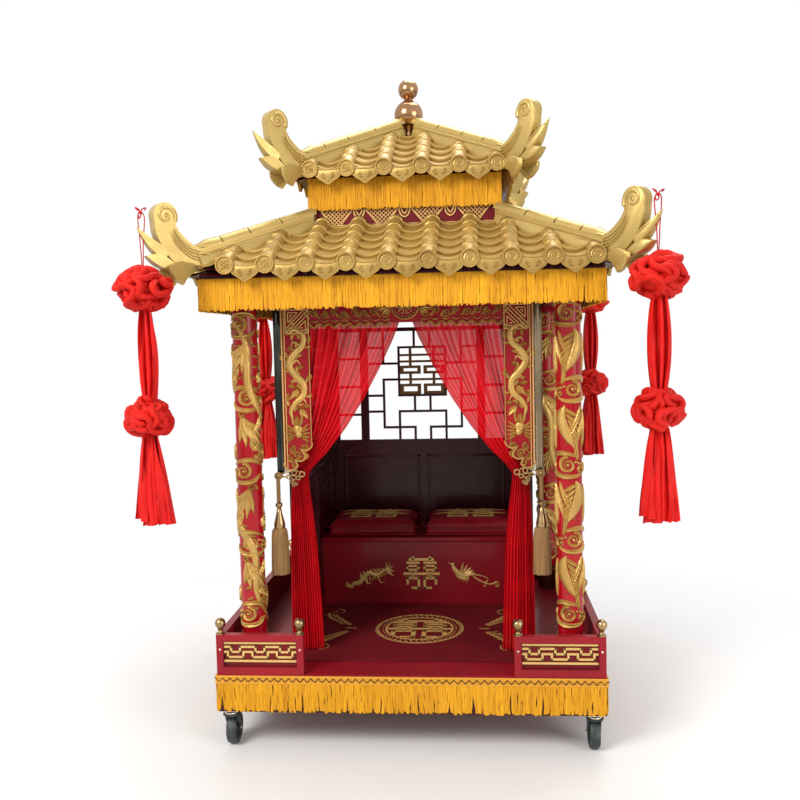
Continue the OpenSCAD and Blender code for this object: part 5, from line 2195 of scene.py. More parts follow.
@dataclass
class Cushion:
    """One swollen seat cushion with piped edges and an embroidered emblem.

    Attributes:
        side: left or right.
        swell: Most that a point may move when the cloth swells.
    """

    side: str
    swell: float = 0.016

    def inflated(self) -> bpy.types.Object:
        """Swells the cushion's cover by cloth pressure.

        Returns:
            The cover as an object with no modifiers left.
        """
        lo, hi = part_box(f"cushion_{self.side}")
        pad = 0.010
        shape = block((lo.x + pad, lo.y + pad, lo.z), (hi.x - pad, hi.y - pad, hi.z - 0.022), 0.016, 4)
        mesh = bpy.data.meshes.new("cover")
        shape.to_mesh(mesh)
        shape.free()
        obj = placed("cover", mesh)
        remesh = obj.modifiers.new("even", "REMESH")
        remesh.mode = "VOXEL"
        remesh.voxel_size = 0.0085
        self.settle(obj)
        start = [v.co.copy() for v in obj.data.vertices]
        cloth = obj.modifiers.new("swell", "CLOTH")
        cloth.settings.quality = 5
        cloth.settings.mass = 0.3
        cloth.settings.use_pressure = True
        cloth.settings.uniform_pressure_force = 3.2
        cloth.settings.tension_stiffness = 12
        cloth.settings.compression_stiffness = 12
        cloth.settings.bending_stiffness = 1.5
        cloth.settings.effector_weights.gravity = 0
        scene = bpy.context.scene
        for number in range(1, 19):
            scene.frame_set(number)
        self.settle(obj)
        scene.frame_set(1)
        for vert, was in zip(obj.data.vertices, start):
            move = vert.co - was
            if move.length > self.swell:
                vert.co = was + move.normalized() * self.swell
        return obj

    @staticmethod
    def settle(obj: bpy.types.Object) -> None:
        """Applies an object's modifiers to its mesh."""
        depsgraph = bpy.context.evaluated_depsgraph_get()
        mesh = bpy.data.meshes.new_from_object(obj.evaluated_get(depsgraph))
        obj.modifiers.clear()
        obj.data = mesh

    def shaped(self, obj: bpy.types.Object) -> None:
        """Keeps the cover in its room: flat below, crowned above, waisted along the edge."""
        lo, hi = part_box(f"cushion_{self.side}")
        mid = (lo + hi) / 2
        half = (hi - lo) / 2
        seam = lo.z + (hi.z - lo.z) * 0.42
        for vert in obj.data.vertices:
            co = vert.co
            u = max(-1.0, min(1.0, (co.x - mid.x) / half.x))
            v = max(-1.0, min(1.0, (co.y - mid.y) / half.y))
            crown = (1 - abs(u) ** 3.2) * (1 - abs(v) ** 3.2)
            if co.z > seam:
                co.z += 0.012 * crown
                co.z += 0.0012 * noise.noise(Vector((co.x * 18, co.y * 18, 3)))
            else:
                waist = math.exp(-((co.z - seam) / 0.006) ** 2)
                co.x -= (co.x - mid.x) * 0.012 * waist
                co.y -= (co.y - mid.y) * 0.012 * waist
            co.x = max(lo.x - 0.002, min(hi.x + 0.002, co.x))
            co.y = max(lo.y - 0.002, min(hi.y + 0.001, co.y))
            co.z = max(lo.z, min(hi.z + 0.004, co.z))

    def piping(self, level: float, grow: float) -> bmesh.types.BMesh:
        """Models a round piping cord along the cover's edge.

        Args:
            level: Height of the cord.
            grow: How far outside the cushion's room its axis lies.

        Returns:
            The cord.
        """
        lo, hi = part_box(f"cushion_{self.side}")
        r = 0.030
        x0, x1, y0, y1 = lo.x - grow, hi.x + grow, lo.y - grow, hi.y + grow
        path = []
        for cx, cy, a0 in ((x1 - r, y0 + r, -90), (x1 - r, y1 - r, 0), (x0 + r, y1 - r, 90),
                           (x0 + r, y0 + r, 180)):
            for k in range(7):
                a = math.radians(a0 + 15 * k)
                path.append(Vector((cx + r * math.cos(a), cy + r * math.sin(a), level)))
        return tube(path + [path[0]], 0.0028, 8)

    def build(self) -> None:
        """Makes the cover, its piping and its embroidery."""
        lo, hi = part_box(f"cushion_{self.side}")
        obj = self.inflated()
        self.shaped(obj)
        skin = bmesh.new()
        skin.from_mesh(obj.data)
        bpy.data.objects.remove(obj)
        bmesh.ops.smooth_vert(skin, verts=skin.verts, factor=0.4, use_axis_x=True, use_axis_y=True,
                              use_axis_z=True)
        tree = bvhtree.BVHTree.FromBMesh(skin)
        cover = piece(f"seat_cushion_{self.side}", skin, [SATIN_RED],
                      replaces=[f"cushion_{self.side}"], crease=180)
        sub = cover.modifiers.new("smooth", "SUBSURF")
        sub.levels = sub.render_levels = 1

        def on_cover(u: float, v: float, h: float) -> Vector:
            """Drops a point of the emblem onto the crowned cover."""
            hit = tree.ray_cast(Vector((u, v, hi.z + 0.2)), Vector((0, 0, -1)))
            z = hit[0].z if hit[0] else hi.z
            return Vector((u, v, z + h + 0.0006))

        cx, cy = (lo.x + hi.x) / 2, (lo.y + hi.y) / 2
        c = Carver(on_cover, 0.0022)
        joy_ornament(c, cx, cy, 0.27, 0.20, 0.0022)
        for s in SIDES:
            for y in (-0.005, 0.075):
                c.stroke([(cx + s * 0.125, cy + y), (cx + s * 0.175, cy + y - 0.004)], 0.014, Taper.FADE,
                         Section.FLAT)
        piece(f"cushion_emblem_{self.side}", c.shape, [THREAD_GOLD], crease=60, weld=0)
        cord = Shape().take(self.piping(lo.z + 0.050, -0.003)).take(self.piping(lo.z + 0.012, -0.002))
        piece(f"cushion_piping_{self.side}", cord, [SATIN_RED], crease=60)


@dataclass
class Carpet:
    """The cut-pile carpet with its gold medallion and corner scrolls."""

    node: str = "carpet"

    def build(self) -> None:
        """Makes the carpet and its woven ornament."""
        lo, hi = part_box(self.node)
        pile = bmesh.new()
        bmesh.ops.create_grid(pile, x_segments=60, y_segments=50, size=0.5)
        size = hi - lo
        mid = (hi + lo) / 2
        for vert in pile.verts:
            vert.co = Vector((mid.x + vert.co.x * size.x, mid.y + vert.co.y * size.y, 0))
            edge = min(vert.co.x - lo.x, hi.x - vert.co.x, vert.co.y - lo.y, hi.y - vert.co.y)
            vert.co.z = hi.z - 0.0012 * math.exp(-edge / 0.004) + 0.0003 * noise.noise(vert.co * 30)
        bmesh.ops.recalc_face_normals(pile, faces=pile.faces)
        skirt = bmesh.ops.extrude_face_region(pile, geom=pile.faces[:])["geom"]
        for vert in (g for g in skirt if isinstance(g, bmesh.types.BMVert)):
            vert.co.z = lo.z
        carpet = piece("cabin_carpet", pile, [CARPET_RED], replaces=[self.node], crease=60)
        c = Carver(flat_top(hi.z - 0.0008), 0.0014)
        cx, cy, rx, ry = 0.01, -0.152, 0.196, 0.196
        for share, width in ((0.755, 0.010), (0.99, 0.006)):
            ring = [(cx + rx * share * math.cos(TAU * k / 60), cy + ry * share * math.sin(TAU * k / 60))
                    for k in range(61)]
            c.stroke(ring, width, section=Section.FLAT, per_span=1)
        petals = 44
        for k in range(petals):
            a = TAU * k / petals
            px, py = cx + rx * 0.95 * math.cos(a), cy + ry * 0.95 * math.sin(a)
            c.stroke(spiral(px, py, 0.0125, 0.003, math.degrees(a) - 90, 1.25, 12), 0.0048,
                     section=Section.FLAT, per_span=1)
            c.leaf(cx + rx * 0.80 * math.cos(a + 0.07), cy + ry * 0.80 * math.sin(a + 0.07), 0.022,
                   math.degrees(a) + 40, 0.006, 0.3)
        joy_ornament(c, cx, cy, 0.29, 0.27, 0.0012, True)
        for s in SIDES:
            x = s * 0.385
            for e in SIDES:
                y = cy + 0.0 + e * 0.235
                c.curl(x + s * 0.010, y, 0.042, 90 * e, 1.5 * s * e, 0.009)
                c.stroke([(x + s * 0.045, y - e * 0.02), (x + s * 0.030, y - e * 0.09),
                          (x - s * 0.010, y - e * 0.14), (x - s * 0.055, y - e * 0.185),
                          (x - s * 0.095, y - e * 0.215)], 0.012, Taper.FADE, Section.FLAT)
                for k in range(6):
                    t = k / 5
                    px, py = x + s * (0.034 - 0.085 * t), y - e * (0.055 + 0.125 * t)
                    c.stroke(spiral(px - s * 0.020, py, 0.019 - 0.006 * t, 0.004, 0, 1.3 * s * e, 12), 0.0055,
                             section=Section.FLAT, per_span=1)
                    c.leaf(px, py, 0.038, 90 * e + 90 + s * 35, 0.009, 0.2)
            c.boss(x - s * 0.105, cy, 0.010)
            c.leaf(x - s * 0.055, cy, 0.055, 90 + s * 90, 0.016, 0.0)
        piece("carpet_ornament", c.shape, [THREAD_GOLD], crease=60, weld=0)


# ---------- curtains, hooks and tassels ----------

@dataclass
class Curtain:
    """One sheer curtain: pleated along the lintel, swept back to its hook, falling to the deck.

    Attributes:
        side: left or right.
        pleats: Number of pleats.
        fine: Samples across one pleat.
        rows: Samples down the cloth.
        cut: Width and length of the flat cloth; not used.
    """

    side: str
    pleats: int = 14
    fine: int = 12
    rows: int = 96
    cut: tuple[float, float] = (0.62, 1.56)

    def edges(self, z: float) -> tuple[float, float]:
        """Gives the inner and outer edge at a height, both measured outwards from the middle."""
        stops = ((1.825, 0.008, 0.503), (1.70, 0.014, 0.503), (1.60, 0.052, 0.503), (1.48, 0.112, 0.503),
                 (1.36, 0.178, 0.502), (1.24, 0.256, 0.500), (1.14, 0.336, 0.496), (1.085, 0.392, 0.490),
                 (1.048, 0.418, 0.484), (1.00, 0.414, 0.487), (0.90, 0.400, 0.494), (0.75, 0.385, 0.498),
                 (0.50, 0.374, 0.502), (0.30, 0.368, 0.503))
        for (z1, a1, b1), (z0, a0, b0) in zip(stops, stops[1:]):
            if z >= z0:
                t = (z - z0) / (z1 - z0)
                return a0 + (a1 - a0) * t, b0 + (b1 - b0) * t
        return stops[-1][1:]

    def build(self) -> None:
        """Makes the curtain's cloth."""
        lo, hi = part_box(f"curtain_{self.side}")
        s = -1 if self.side == "left" else 1
        rng = random.Random(31 + s)
        mid, reach = (lo.y + hi.y) / 2, (hi.y - lo.y) / 2 - 0.0012
        across = self.pleats * self.fine
        sizes = [rng.uniform(0.6, 1.0) for _ in range(self.pleats + 2)]
        widths = [rng.uniform(0.55, 1.5) for _ in range(self.pleats)]
        total = sum(widths)
        starts = [sum(widths[:k]) / total for k in range(self.pleats + 1)]
        bm = bmesh.new()
        bmesh.ops.create_grid(bm, x_segments=across, y_segments=self.rows, size=1)
        layer = bm.verts.layers.float.new("steep")
        bm.verts.ensure_lookup_table()
        for j in range(self.rows + 1):
            z = hi.z - (hi.z - lo.z - 0.004) * j / self.rows
            inner, outer = self.edges(z)
            for i in range(across + 1):
                k = min(i // self.fine, self.pleats - 1)
                phase = (i - k * self.fine) / self.fine
                u = starts[k] + (starts[k + 1] - starts[k]) * phase
                drift = 0.012 * math.sin(z * 5 + k * 1.3) * math.sin(math.pi * u)
                x = inner + (outer - inner) * min(1, max(0, u + drift))
                size = sizes[k] + (sizes[k + 1] - sizes[k]) * phase
                wave = math.sin(TAU * phase + 0.5 * math.sin(z * 7 + k))
                free = 0.85 + 0.15 * math.sin(z * 9 + k * 2.1)
                y = mid + reach * size * free * wave
                sag = -0.010 * math.sin(math.pi * u) * (1 if z > 1.1 else 0)
                vert = bm.verts[j * (across + 1) + i]
                hem = 0.004 * math.sin(TAU * phase) if j == self.rows else 0
                vert.co = Vector((s * x, y, z + sag * (1.82 - z) / 0.75 + hem))
                vert[layer] = abs(math.cos(TAU * phase + 0.5 * math.sin(z * 7 + k))) * size
        cloth = piece(f"sheer_curtain_{self.side}", bm, [CHIFFON],
                      replaces=[f"curtain_{self.side}"], crease=180, weld=0)


@dataclass
class SideShadeSheets:
    """Narrow dark sheets hung inside the cabin beside the side windows, standing for the shade seen there:
    painted shade.

    Attributes:
        pleats: Number of pleats.
        cut: Width and length of one flat sheet; not used.
    """

    pleats: int = 9
    cut: tuple[float, float] = (0.43, 1.45)

    def build(self) -> None:
        """Makes both shade sheets and their rods."""
        lo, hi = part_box("side_panels")
        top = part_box("eave_beams")[0].z + 0.05
        rods = Shape()
        for s in SIDES:
            x0 = hi.x - 0.018
            fine, rows = 8, 60
            across = self.pleats * fine
            bm = bmesh.new()
            bmesh.ops.create_grid(bm, x_segments=across, y_segments=rows, size=1)
            bm.verts.ensure_lookup_table()
            for j in range(rows + 1):
                z = top - (top - 0.345) * j / rows
                narrow = 1 - 0.35 * math.exp(-((z - 1.05) / 0.22) ** 2)
                for i in range(across + 1):
                    u = i / across
                    y = lo.y + 0.012 + 0.27 * u * narrow
                    x = x0 - 0.014 + 0.0105 * math.sin(TAU * self.pleats * u + 0.6 * math.sin(z * 4 + u * 9))
                    bm.verts[j * (across + 1) + i].co = Vector((s * x, y, z))
            # Each sheet is a dark stand-in for the shade beside the side window: painted shade.
            shade_sheet = piece(f"side_drape_{'left' if s < 0 else 'right'}", bm, [SHADE_SHEET],
                          crease=180, weld=0)
            rods.take(tube([Vector((s * (x0 - 0.014), lo.y + 0.002, top)),
                            Vector((s * (x0 - 0.014), hi.y - 0.002, top))], 0.004, 10))
        piece("shade_sheet_rods", rods, [OLD_BRASS], crease=40)


@dataclass
class CurtainHook:
    """A cast openwork hook, its knob, and the tassel that hangs from it.

    Attributes:
        side: left or right.
        bar: Radius of the cast bars.
        strands: Strands round the tassel's skirt.
    """

    side: str
    bar: float = 0.0036
    strands: int = 84

    def __post_init__(self) -> None:
        """Reads the places of the hook and the tassel."""
        self.s = -1 if self.side == "left" else 1
        lo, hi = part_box("tassels")
        self.radius = 0.038
        self.tx, self.ty = hi.x - self.radius, (lo.y + hi.y) / 2
        self.top, self.foot = hi.z, lo.z
        self.hook_lo, self.hook_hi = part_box("holdbacks")

    def hook(self) -> None:
        """Makes the openwork hook of rings and scrolls, and its knob."""
        shape = Shape()
        y = self.ty + 0.024
        x, z = 0.486, (self.hook_lo.z + self.hook_hi.z) / 2

        def ring(cx: float, cz: float, r: float, thick: float) -> None:
            """Adds one cast ring."""
            path = [Vector((cx + r * math.cos(TAU * k / 20), y, cz + r * math.sin(TAU * k / 20)))
                    for k in range(21)]
            shape.take(tube(path, thick, 8))

        def bar(points: Sequence[Point], thick: float) -> None:
            """Adds one cast bar."""
            path = [Vector((p.x, y - 0.001, p.y)) for p in smoothed(points, 5)]
            shape.take(tube(path, lambda t: thick * (1 - 0.35 * t), 8))

        ring(x - 0.050, z + 0.004, 0.0105, 0.0036)
        ring(x - 0.018, z + 0.010, 0.0095, 0.0032)
        ring(x + 0.006, z - 0.006, 0.0080, 0.0030)
        ring(x - 0.034, z - 0.012, 0.0075, 0.0030)
        bar([(self.tx, z + 0.002), (x + 0.022, z + 0.010), (x, z + 0.016), (x - 0.022, z + 0.022),
             (x - 0.040, z + 0.014)], self.bar)
        bar([(self.tx, z - 0.004), (x + 0.022, z - 0.006), (x, z + 0.000), (x - 0.026, z - 0.004),
             (x - 0.044, z - 0.004)], self.bar)
        for cx, cz, r, start, turns in ((x - 0.006, z - 0.024, 0.012, 80, 1.4),
                                        (x - 0.024, z - 0.034, 0.010, 20, -1.3),
                                        (x + 0.010, z + 0.018, 0.008, 200, 1.2)):
            bar(spiral(cx, cz, r, 0.002, start, turns, 10), 0.0030)
        bar([(x - 0.030, z - 0.006), (x - 0.018, z - 0.020), (x - 0.008, z - 0.040),
             (x - 0.018, z - 0.048)], 0.0032)
        knob = turned([(0, 0.016), (0.007, 0.015), (0.0105, 0.010), (0.0100, 0.005), (0.005, 0.001),
                       (0.0045, -0.024), (0.010, -0.026), (0.010, -0.030), (0, -0.030)], 24)
        shape.take(knob, shifted((self.tx, y - 0.004, z)) @ Matrix.Rotation(math.pi / 2, 4, "X"))
        shape.bm.transform(Matrix.Diagonal((self.s, 1, 1, 1)))
        replaced = ["holdbacks"] if self.s < 0 else []
        piece(f"curtain_hook_{self.side}", shape, [DULL_GOLD], replaces=replaced, crease=60)

    def rope(self) -> Shape:
        """Models the two twisted strands of the tassel's cord, looped over the knob."""
        shape = Shape()
        top = (self.hook_lo.z + self.hook_hi.z) / 2
        low = self.top - 0.078
        for strand in range(2):
            path = []
            for k in range(49):
                t = k / 48
                a = TAU * 5.5 * t + math.pi * strand
                path.append(Vector((self.s * self.tx + 0.0042 * math.cos(a), self.ty + 0.0042 * math.sin(a),
                                    top - 0.010 + (low - top + 0.010) * t)))
            shape.take(tube(path, 0.0048, 8))
        loop = [Vector((self.s * self.tx + 0.0125 * math.cos(TAU * k / 16), self.ty + 0.006,
                        top + 0.0125 * math.sin(TAU * k / 16))) for k in range(17)]
        shape.take(tube(loop, 0.0045, 8))
        return shape

    def tassel(self) -> None:
        """Makes the rope, the polished cap and the skirt of strands."""
        centre = shifted((self.s * self.tx, self.ty, 0))
        top, foot = self.top, self.foot
        piece(f"tassel_rope_{self.side}", self.rope(), [TASSEL_SILK], crease=60)
        z = top - 0.078
        cap = Shape()
        cap.take(turned([(0, z), (0.006, z), (0.0135, z - 0.006), (0.0148, z - 0.013), (0.0125, z - 0.020),
                         (0.0085, z - 0.024), (0.0085, z - 0.030), (0.0105, z - 0.032), (0.0120, z - 0.046),
                         (0.0175, z - 0.068), (0.0225, z - 0.088), (0.0235, z - 0.094), (0.0225, z - 0.098),
                         (0.0235, z - 0.102), (0.0220, z - 0.106), (0, z - 0.106)], 36), centre)
        piece(f"tassel_cap_{self.side}", cap, [OLD_BRASS], crease=40)
        skirt = Shape()
        skirt.take(turned([(0, z - 0.104), (0.020, z - 0.105), (0.0285, z - 0.112), (0.0305, z - 0.122),
                           (0.0325, foot + 0.05), (0.034, foot + 0.006), (0, foot + 0.006)], 48), centre)
        rng = random.Random(57)
        for k in range(self.strands):
            a = TAU * k / self.strands + rng.uniform(-0.02, 0.02)
            end = foot + rng.uniform(0, 0.005)
            r0, r1 = 0.0305, 0.0352 + rng.uniform(-0.0006, 0.0010)
            path = []
            for step, share in ((0, 0.62), (1, 0.94), (2, 1.0), (3, 1.0), (4, 1.0), (5, 1.0), (6, 1.0)):
                t = step / 6
                zz = (z - 0.106) + (end - z + 0.106) * t ** 1.5
                r = (r0 + (r1 - r0) * t) * share
                wander = a + 0.02 * math.sin(t * 4 + k)
                path.append(Vector((r * math.cos(wander), r * math.sin(wander), zz)))
            skirt.take(tube(path, 0.0018, 5), centre)
        replaced = ["tassels"] if self.s < 0 else []
        piece(f"tassel_skirt_{self.side}", skirt, [TASSEL_SILK], replaces=replaced, crease=70)

    def build(self) -> None:
        """Makes the hook and the tassel."""
        self.hook()
        self.tassel()


# ---------- garlands ----------

@dataclass
class Garland:
    """A cord, two ruffled rosettes, a gathered ribbon and a flaring tail at one roof corner.

    Attributes:
        corner: Corner of the roof.
        rolls: Ruffles on one rosette.
        ruffle: Width of one ruffle.
        rosette_cut: Width and length of the ribbon gathered into both rosettes; not used.
        ribbon_cut: Width and length of the flat ribbon between and below them; not used.
        leaf_z: Height of the hip's leaf that the cord hangs from.
        upper: Height of the upper rosette.
        lower: Height of the lower rosette.
    """

    corner: str
    rolls: int = 34
    ruffle: float = 0.029
    rosette_cut: tuple[float, float] = (0.24, 1.9)
    ribbon_cut: tuple[float, float] = (0.28, 0.85)
    leaf_z: float = 2.058
    upper: float = 1.797
    lower: float = 1.336

    def __post_init__(self) -> None:
        """Reads the garland's place from the frame."""
        lo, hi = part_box("garlands")
        x, y = CORNERS[self.corner]
        self.x, self.y = x * (hi.x - 0.110), y * (hi.y - 0.110)
        self.foot, self.top = lo.z, hi.z
        self.seed = 71 + 3 * x + 7 * y

    def rosette(self, centre: Vector, wide: float, tall: float, seed: int) -> Shape:
        """Models one rosette: meandering ruffles crowded over a small core.

        Args:
            centre: Its centre.
            wide: Its half width.
            tall: Its half height.
            seed: Seed of the ruffles' paths.

        Returns:
            The rosette.
        """
        rng = random.Random(seed)
        shape = Shape()
        core = bmesh.new()
        core_size = Matrix.Diagonal((wide * 0.66, wide * 0.66, tall * 0.66, 1))
        bmesh.ops.create_icosphere(core, subdivisions=3, radius=1, matrix=shifted(centre) @ core_size)
        shape.take(core)
        half = self.ruffle / 2
        scale = Vector((wide - half, wide - half, tall - half))
        for k in range(self.rolls):
            v = 1 - 2 * (k + 0.5) / self.rolls
            a = k * 2.39996
            ring = math.sqrt(1 - v * v)
            spot = Vector((ring * math.cos(a), ring * math.sin(a), v))
            heading = Vector([rng.uniform(-1, 1) for _ in range(3)]).cross(spot).normalized()
            bend = rng.choice((-1, 1)) * rng.uniform(0.24, 0.34)
            swap = rng.randint(5, 8)
            path = []
            deep = rng.uniform(0.84, 1.0)
            steps = 17
            for step in range(steps):
                if step == swap:
                    bend = -bend
                t = step / (steps - 1)
                rise = deep * (0.72 + 0.28 * math.sin(math.pi * min(1.0, max(0.0, t))) ** 0.5)
                path.append(centre + Vector((spot.x * scale.x, spot.y * scale.y, spot.z * scale.z)) * rise)
                heading = (Matrix.Rotation(bend, 3, spot) @ heading)
                spot = (spot + heading * 0.115).normalized()
                heading = (heading - spot * heading.dot(spot)).normalized()
            rings = []
            for i, point in enumerate(path):
                along = (path[min(i + 1, steps - 1)] - path[max(i - 1, 0)]).normalized()
                out = (point - centre).normalized()
                beside = along.cross(out).normalized()
                out = beside.cross(along)
                t = i / (steps - 1)
                size = half * (0.45 + 0.55 * max(0.0, math.sin(math.pi * t)) ** 0.4) * rng.uniform(0.92, 1.06)
                twist = 0.35 * math.sin(6 * t + k)
                rings.append([point + (beside * math.cos(TAU * j / 10 + twist) * 0.86
                                       + out * math.sin(TAU * j / 10 + twist) * 1.12) * size
                              * (1 + 0.10 * math.cos(3 * TAU * j / 10 + 5 * t)) for j in range(10)])
            shape.take(lofted(rings))
        return shape

    def pleated(self, top: float, foot: float, width: Callable[[float], float],
                deep: Callable[[float], float], pleats: int, slant: float, turn: float) -> Shape:
        """Models a hanging length of ribbon in pleats.

        Args:
            top: Height of its top.
            foot: Height of its hem.
            width: Its width by the share of its length.
            deep: Its depth by the share of its length.
            pleats: Number of pleats.
            slant: How far the hem runs out of level.
            turn: Turn about the upright, in radians.

        Returns:
            The ribbon.
        """
        fine, rows = 10, 30
        across = pleats * fine
        bm = bmesh.new()
        bmesh.ops.create_grid(bm, x_segments=across, y_segments=rows, size=1)
        bm.verts.ensure_lookup_table()
        for j in range(rows + 1):
            t = j / rows
            for i in range(across + 1):
                u = i / across
                phase = TAU * pleats * u
                x = (u - 0.5) * width(t) + 0.25 * width(t) / pleats * math.sin(2 * phase + 1) * 0.5
                fold = math.sin(phase + 1.2 * math.sin(3 * t + u * 5)) * 0.8
                y = deep(t) / 2 * (fold + 0.2 * math.sin(2.3 * phase + 7 * t))
                z = top + (foot - top) * t + slant * (u - 0.5) * t
                bm.verts[j * (across + 1) + i].co = Vector((x, y, z))
        bm.transform(shifted((self.x, self.y, 0)) @ Matrix.Rotation(turn, 4, "Z"))
        return Shape().take(bm)

    def cord(self) -> Shape:
        """Models the two strands, the knot and the small loop over the hip's leaf."""
        shape = Shape()
        tip = self.leaf_z
        low = self.upper + 0.078
        for s in SIDES:
            path = smoothed([(self.x + s * 0.002, self.y, low),
                             (self.x + s * 0.006, self.y, (low + tip) / 2),
                             (self.x + s * 0.012, self.y + 0.004, tip - 0.015),
                             (self.x + s * 0.008, self.y, tip + 0.008),
                             (self.x, self.y - 0.002, tip + 0.012)], 6)
            shape.take(tube(path, 0.0021, 6))
        for a in (40, 130, 255):
            r = math.radians(a)
            path = smoothed([(self.x, self.y, tip + 0.012),
                             (self.x + 0.016 * math.cos(r) - 0.006 * math.sin(r), self.y - 0.004,
                              tip + 0.012 + 0.016 * math.sin(r)),
                             (self.x + 0.026 * math.cos(r), self.y, tip + 0.012 + 0.022 * math.sin(r)),
                             (self.x + 0.012 * math.cos(r) + 0.006 * math.sin(r), self.y + 0.003,
                              tip + 0.012 + 0.010 * math.sin(r))], 5)
            shape.take(tube(path, 0.0024, 6))
        knot = bmesh.new()
        bmesh.ops.create_icosphere(knot, subdivisions=2, radius=0.0065,
                                   matrix=shifted((self.x, self.y, tip + 0.010)))
        return shape.take(knot)

    def build(self) -> None:
        """Makes the garland's pieces."""
        corner = self.corner
        piece(f"garland_cord_{corner}", self.cord(), [CORD_RED], crease=70)
        balls = Shape()
        balls.take(self.rosette(Vector((self.x, self.y, self.upper)), 0.112, 0.090, self.seed).bm)
        balls.take(self.rosette(Vector((self.x, self.y, self.lower)), 0.097, 0.088, self.seed + 1).bm)
        replaced = ["garlands"] if corner == "front_left" else []
        rosettes = piece(f"garland_rosettes_{corner}", balls, [ROSETTE_RED],
                         replaces=replaced, crease=180)
        turn = 0.15 * math.sin(self.seed)
        ribbon = self.pleated(self.upper - 0.06, self.lower + 0.06,
                              lambda t: 0.046 + 0.036 * math.sin(math.pi * min(1, t * 0.95)) ** 0.8,
                              lambda t: 0.036, 3, 0.0, turn)
        ribbon.take(self.pleated(self.lower - 0.055, self.foot + 0.012, lambda t: 0.056 + 0.092 * t ** 0.8,
                                 lambda t: 0.030 + 0.022 * t, 3, -0.022, turn + 0.2).bm)
        ribbon.take(self.pleated(self.lower - 0.055, self.foot, lambda t: 0.050 + 0.078 * t ** 0.8,
                                 lambda t: 0.026 + 0.014 * t, 2, 0.018, turn - 0.25).bm)
        cloth = piece(f"garland_ribbon_{corner}", ribbon, [RIBBON_RED], crease=180, weld=0)


# ---------- deck and casters ----------

@dataclass
class Deck:
    """Finishes of the deck, the rails, the columns and the boards under the roofs."""

    def build(self) -> None:
        """Dresses the nodes that keep their own shape."""
        dress(RED_BOARD, "deck_board", "front_rails", "side_rails", "rear_rail")
        dress(DARK_BOARD, "skirt_boards", "eave_beams", "ceiling_board", "fascia_boards")
        dress(SAWN, "deck_joists", "caster_blocks")
        # The neck under the upper roof and the upper board take the darker red: painted shade.
        dress(SHADED_RECESS_RED, "neck_walls", "upper_board")
        dress(COLUMN_RED, "column_front_left", "column_front_right", "column_rear_left", "column_rear_right")
        dress(FOOT_BROWN, "column_rings")
        dress(ZINC, "caster_plates")


@dataclass
class Caster:
    """One swivel caster's race, bolts and wheel.

    Attributes:
        corner: Corner of the deck.
        tread: Rounding of the tyre's shoulders.
    """

    corner: str
    tread: float = 0.006

    def wheel(self) -> None:
        """Makes the tyre, its rim and its hub, riding on the wheel."""
        lo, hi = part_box(f"wheel_{self.corner}")
        c = (lo + hi) / 2
        r, w = (hi.z - lo.z) / 2, (hi.x - lo.x) / 2
        t = self.tread
        body = f"wheel_body_{self.corner}"
        place = shifted(c) @ Matrix.Rotation(math.pi / 2, 4, "Y")
        side = [(r * 0.74, w * 0.80), (r * 0.80, w * 0.96), (r - t * 1.3, w), (r - t * 0.45, w - t * 0.35),
                (r, w - t * 1.3)]
        tyre = turned([(r * 0.70, w * 0.72)] + side + [(a, -b) for a, b in reversed(side)]
                      + [(r * 0.70, -w * 0.72), (r * 0.70, w * 0.72)], 56)
        piece(f"tyre_{self.corner}", Shape().take(tyre, place), [TYRE], body=body,
              replaces=[f"wheel_{self.corner}"], crease=45)
        hole = 0.0056
        hub = [(r * 0.71, w * 0.60), (r * 0.62, w * 0.66), (r * 0.56, w * 0.40), (r * 0.34, w * 0.34),
               (r * 0.28, w * 0.80), (r * 0.18, w * 0.90), (hole, w * 0.90)]
        core = turned(hub + [(a, -b) for a, b in reversed(hub)] + [hub[0]], 56)
        piece(f"hub_{self.corner}", Shape().take(core, place), [CASTER_STEEL], body=body,
              crease=30)

    def fork(self) -> None:
        """Makes the race cover and the axle's heads, riding on the fork."""
        lo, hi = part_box(f"wheel_{self.corner}")
        c = (lo + hi) / 2
        joint = next(j for j in frame["joints"] if j["name"] == f"swivel_{self.corner}")
        px, py = joint["pos_m"][:2]
        shape = Shape()
        nut = turned([(0, 0.0045), (0.0065, 0.0040), (0.0085, 0.0025), (0.0085, -0.0015), (0, -0.0015)], 6)
        pattern = kept(nut)
        for s in SIDES:
            shape.stamp(pattern,
                        shifted((c.x + s * 0.0262, c.y, c.z)) @ Matrix.Rotation(math.pi / 2 * s, 4, "Y"))
        ring = turned([(0.0215, 0.1345), (0.0250, 0.1350), (0.0262, 0.1385), (0.0250, 0.1425),
                       (0.0215, 0.1430), (0.0215, 0.1345)], 40)
        shape.take(ring, shifted((px, py, 0)))
        piece(f"race_cover_{self.corner}", shape, [ZINC], body=f"fork_body_{self.corner}",
              crease=35)

    def build(self) -> None:
        """Makes the caster's pieces and dresses its fork."""
        self.wheel()
        self.fork()
        dress(CASTER_STEEL, f"fork_{self.corner}")


# ---------- studio and build ----------

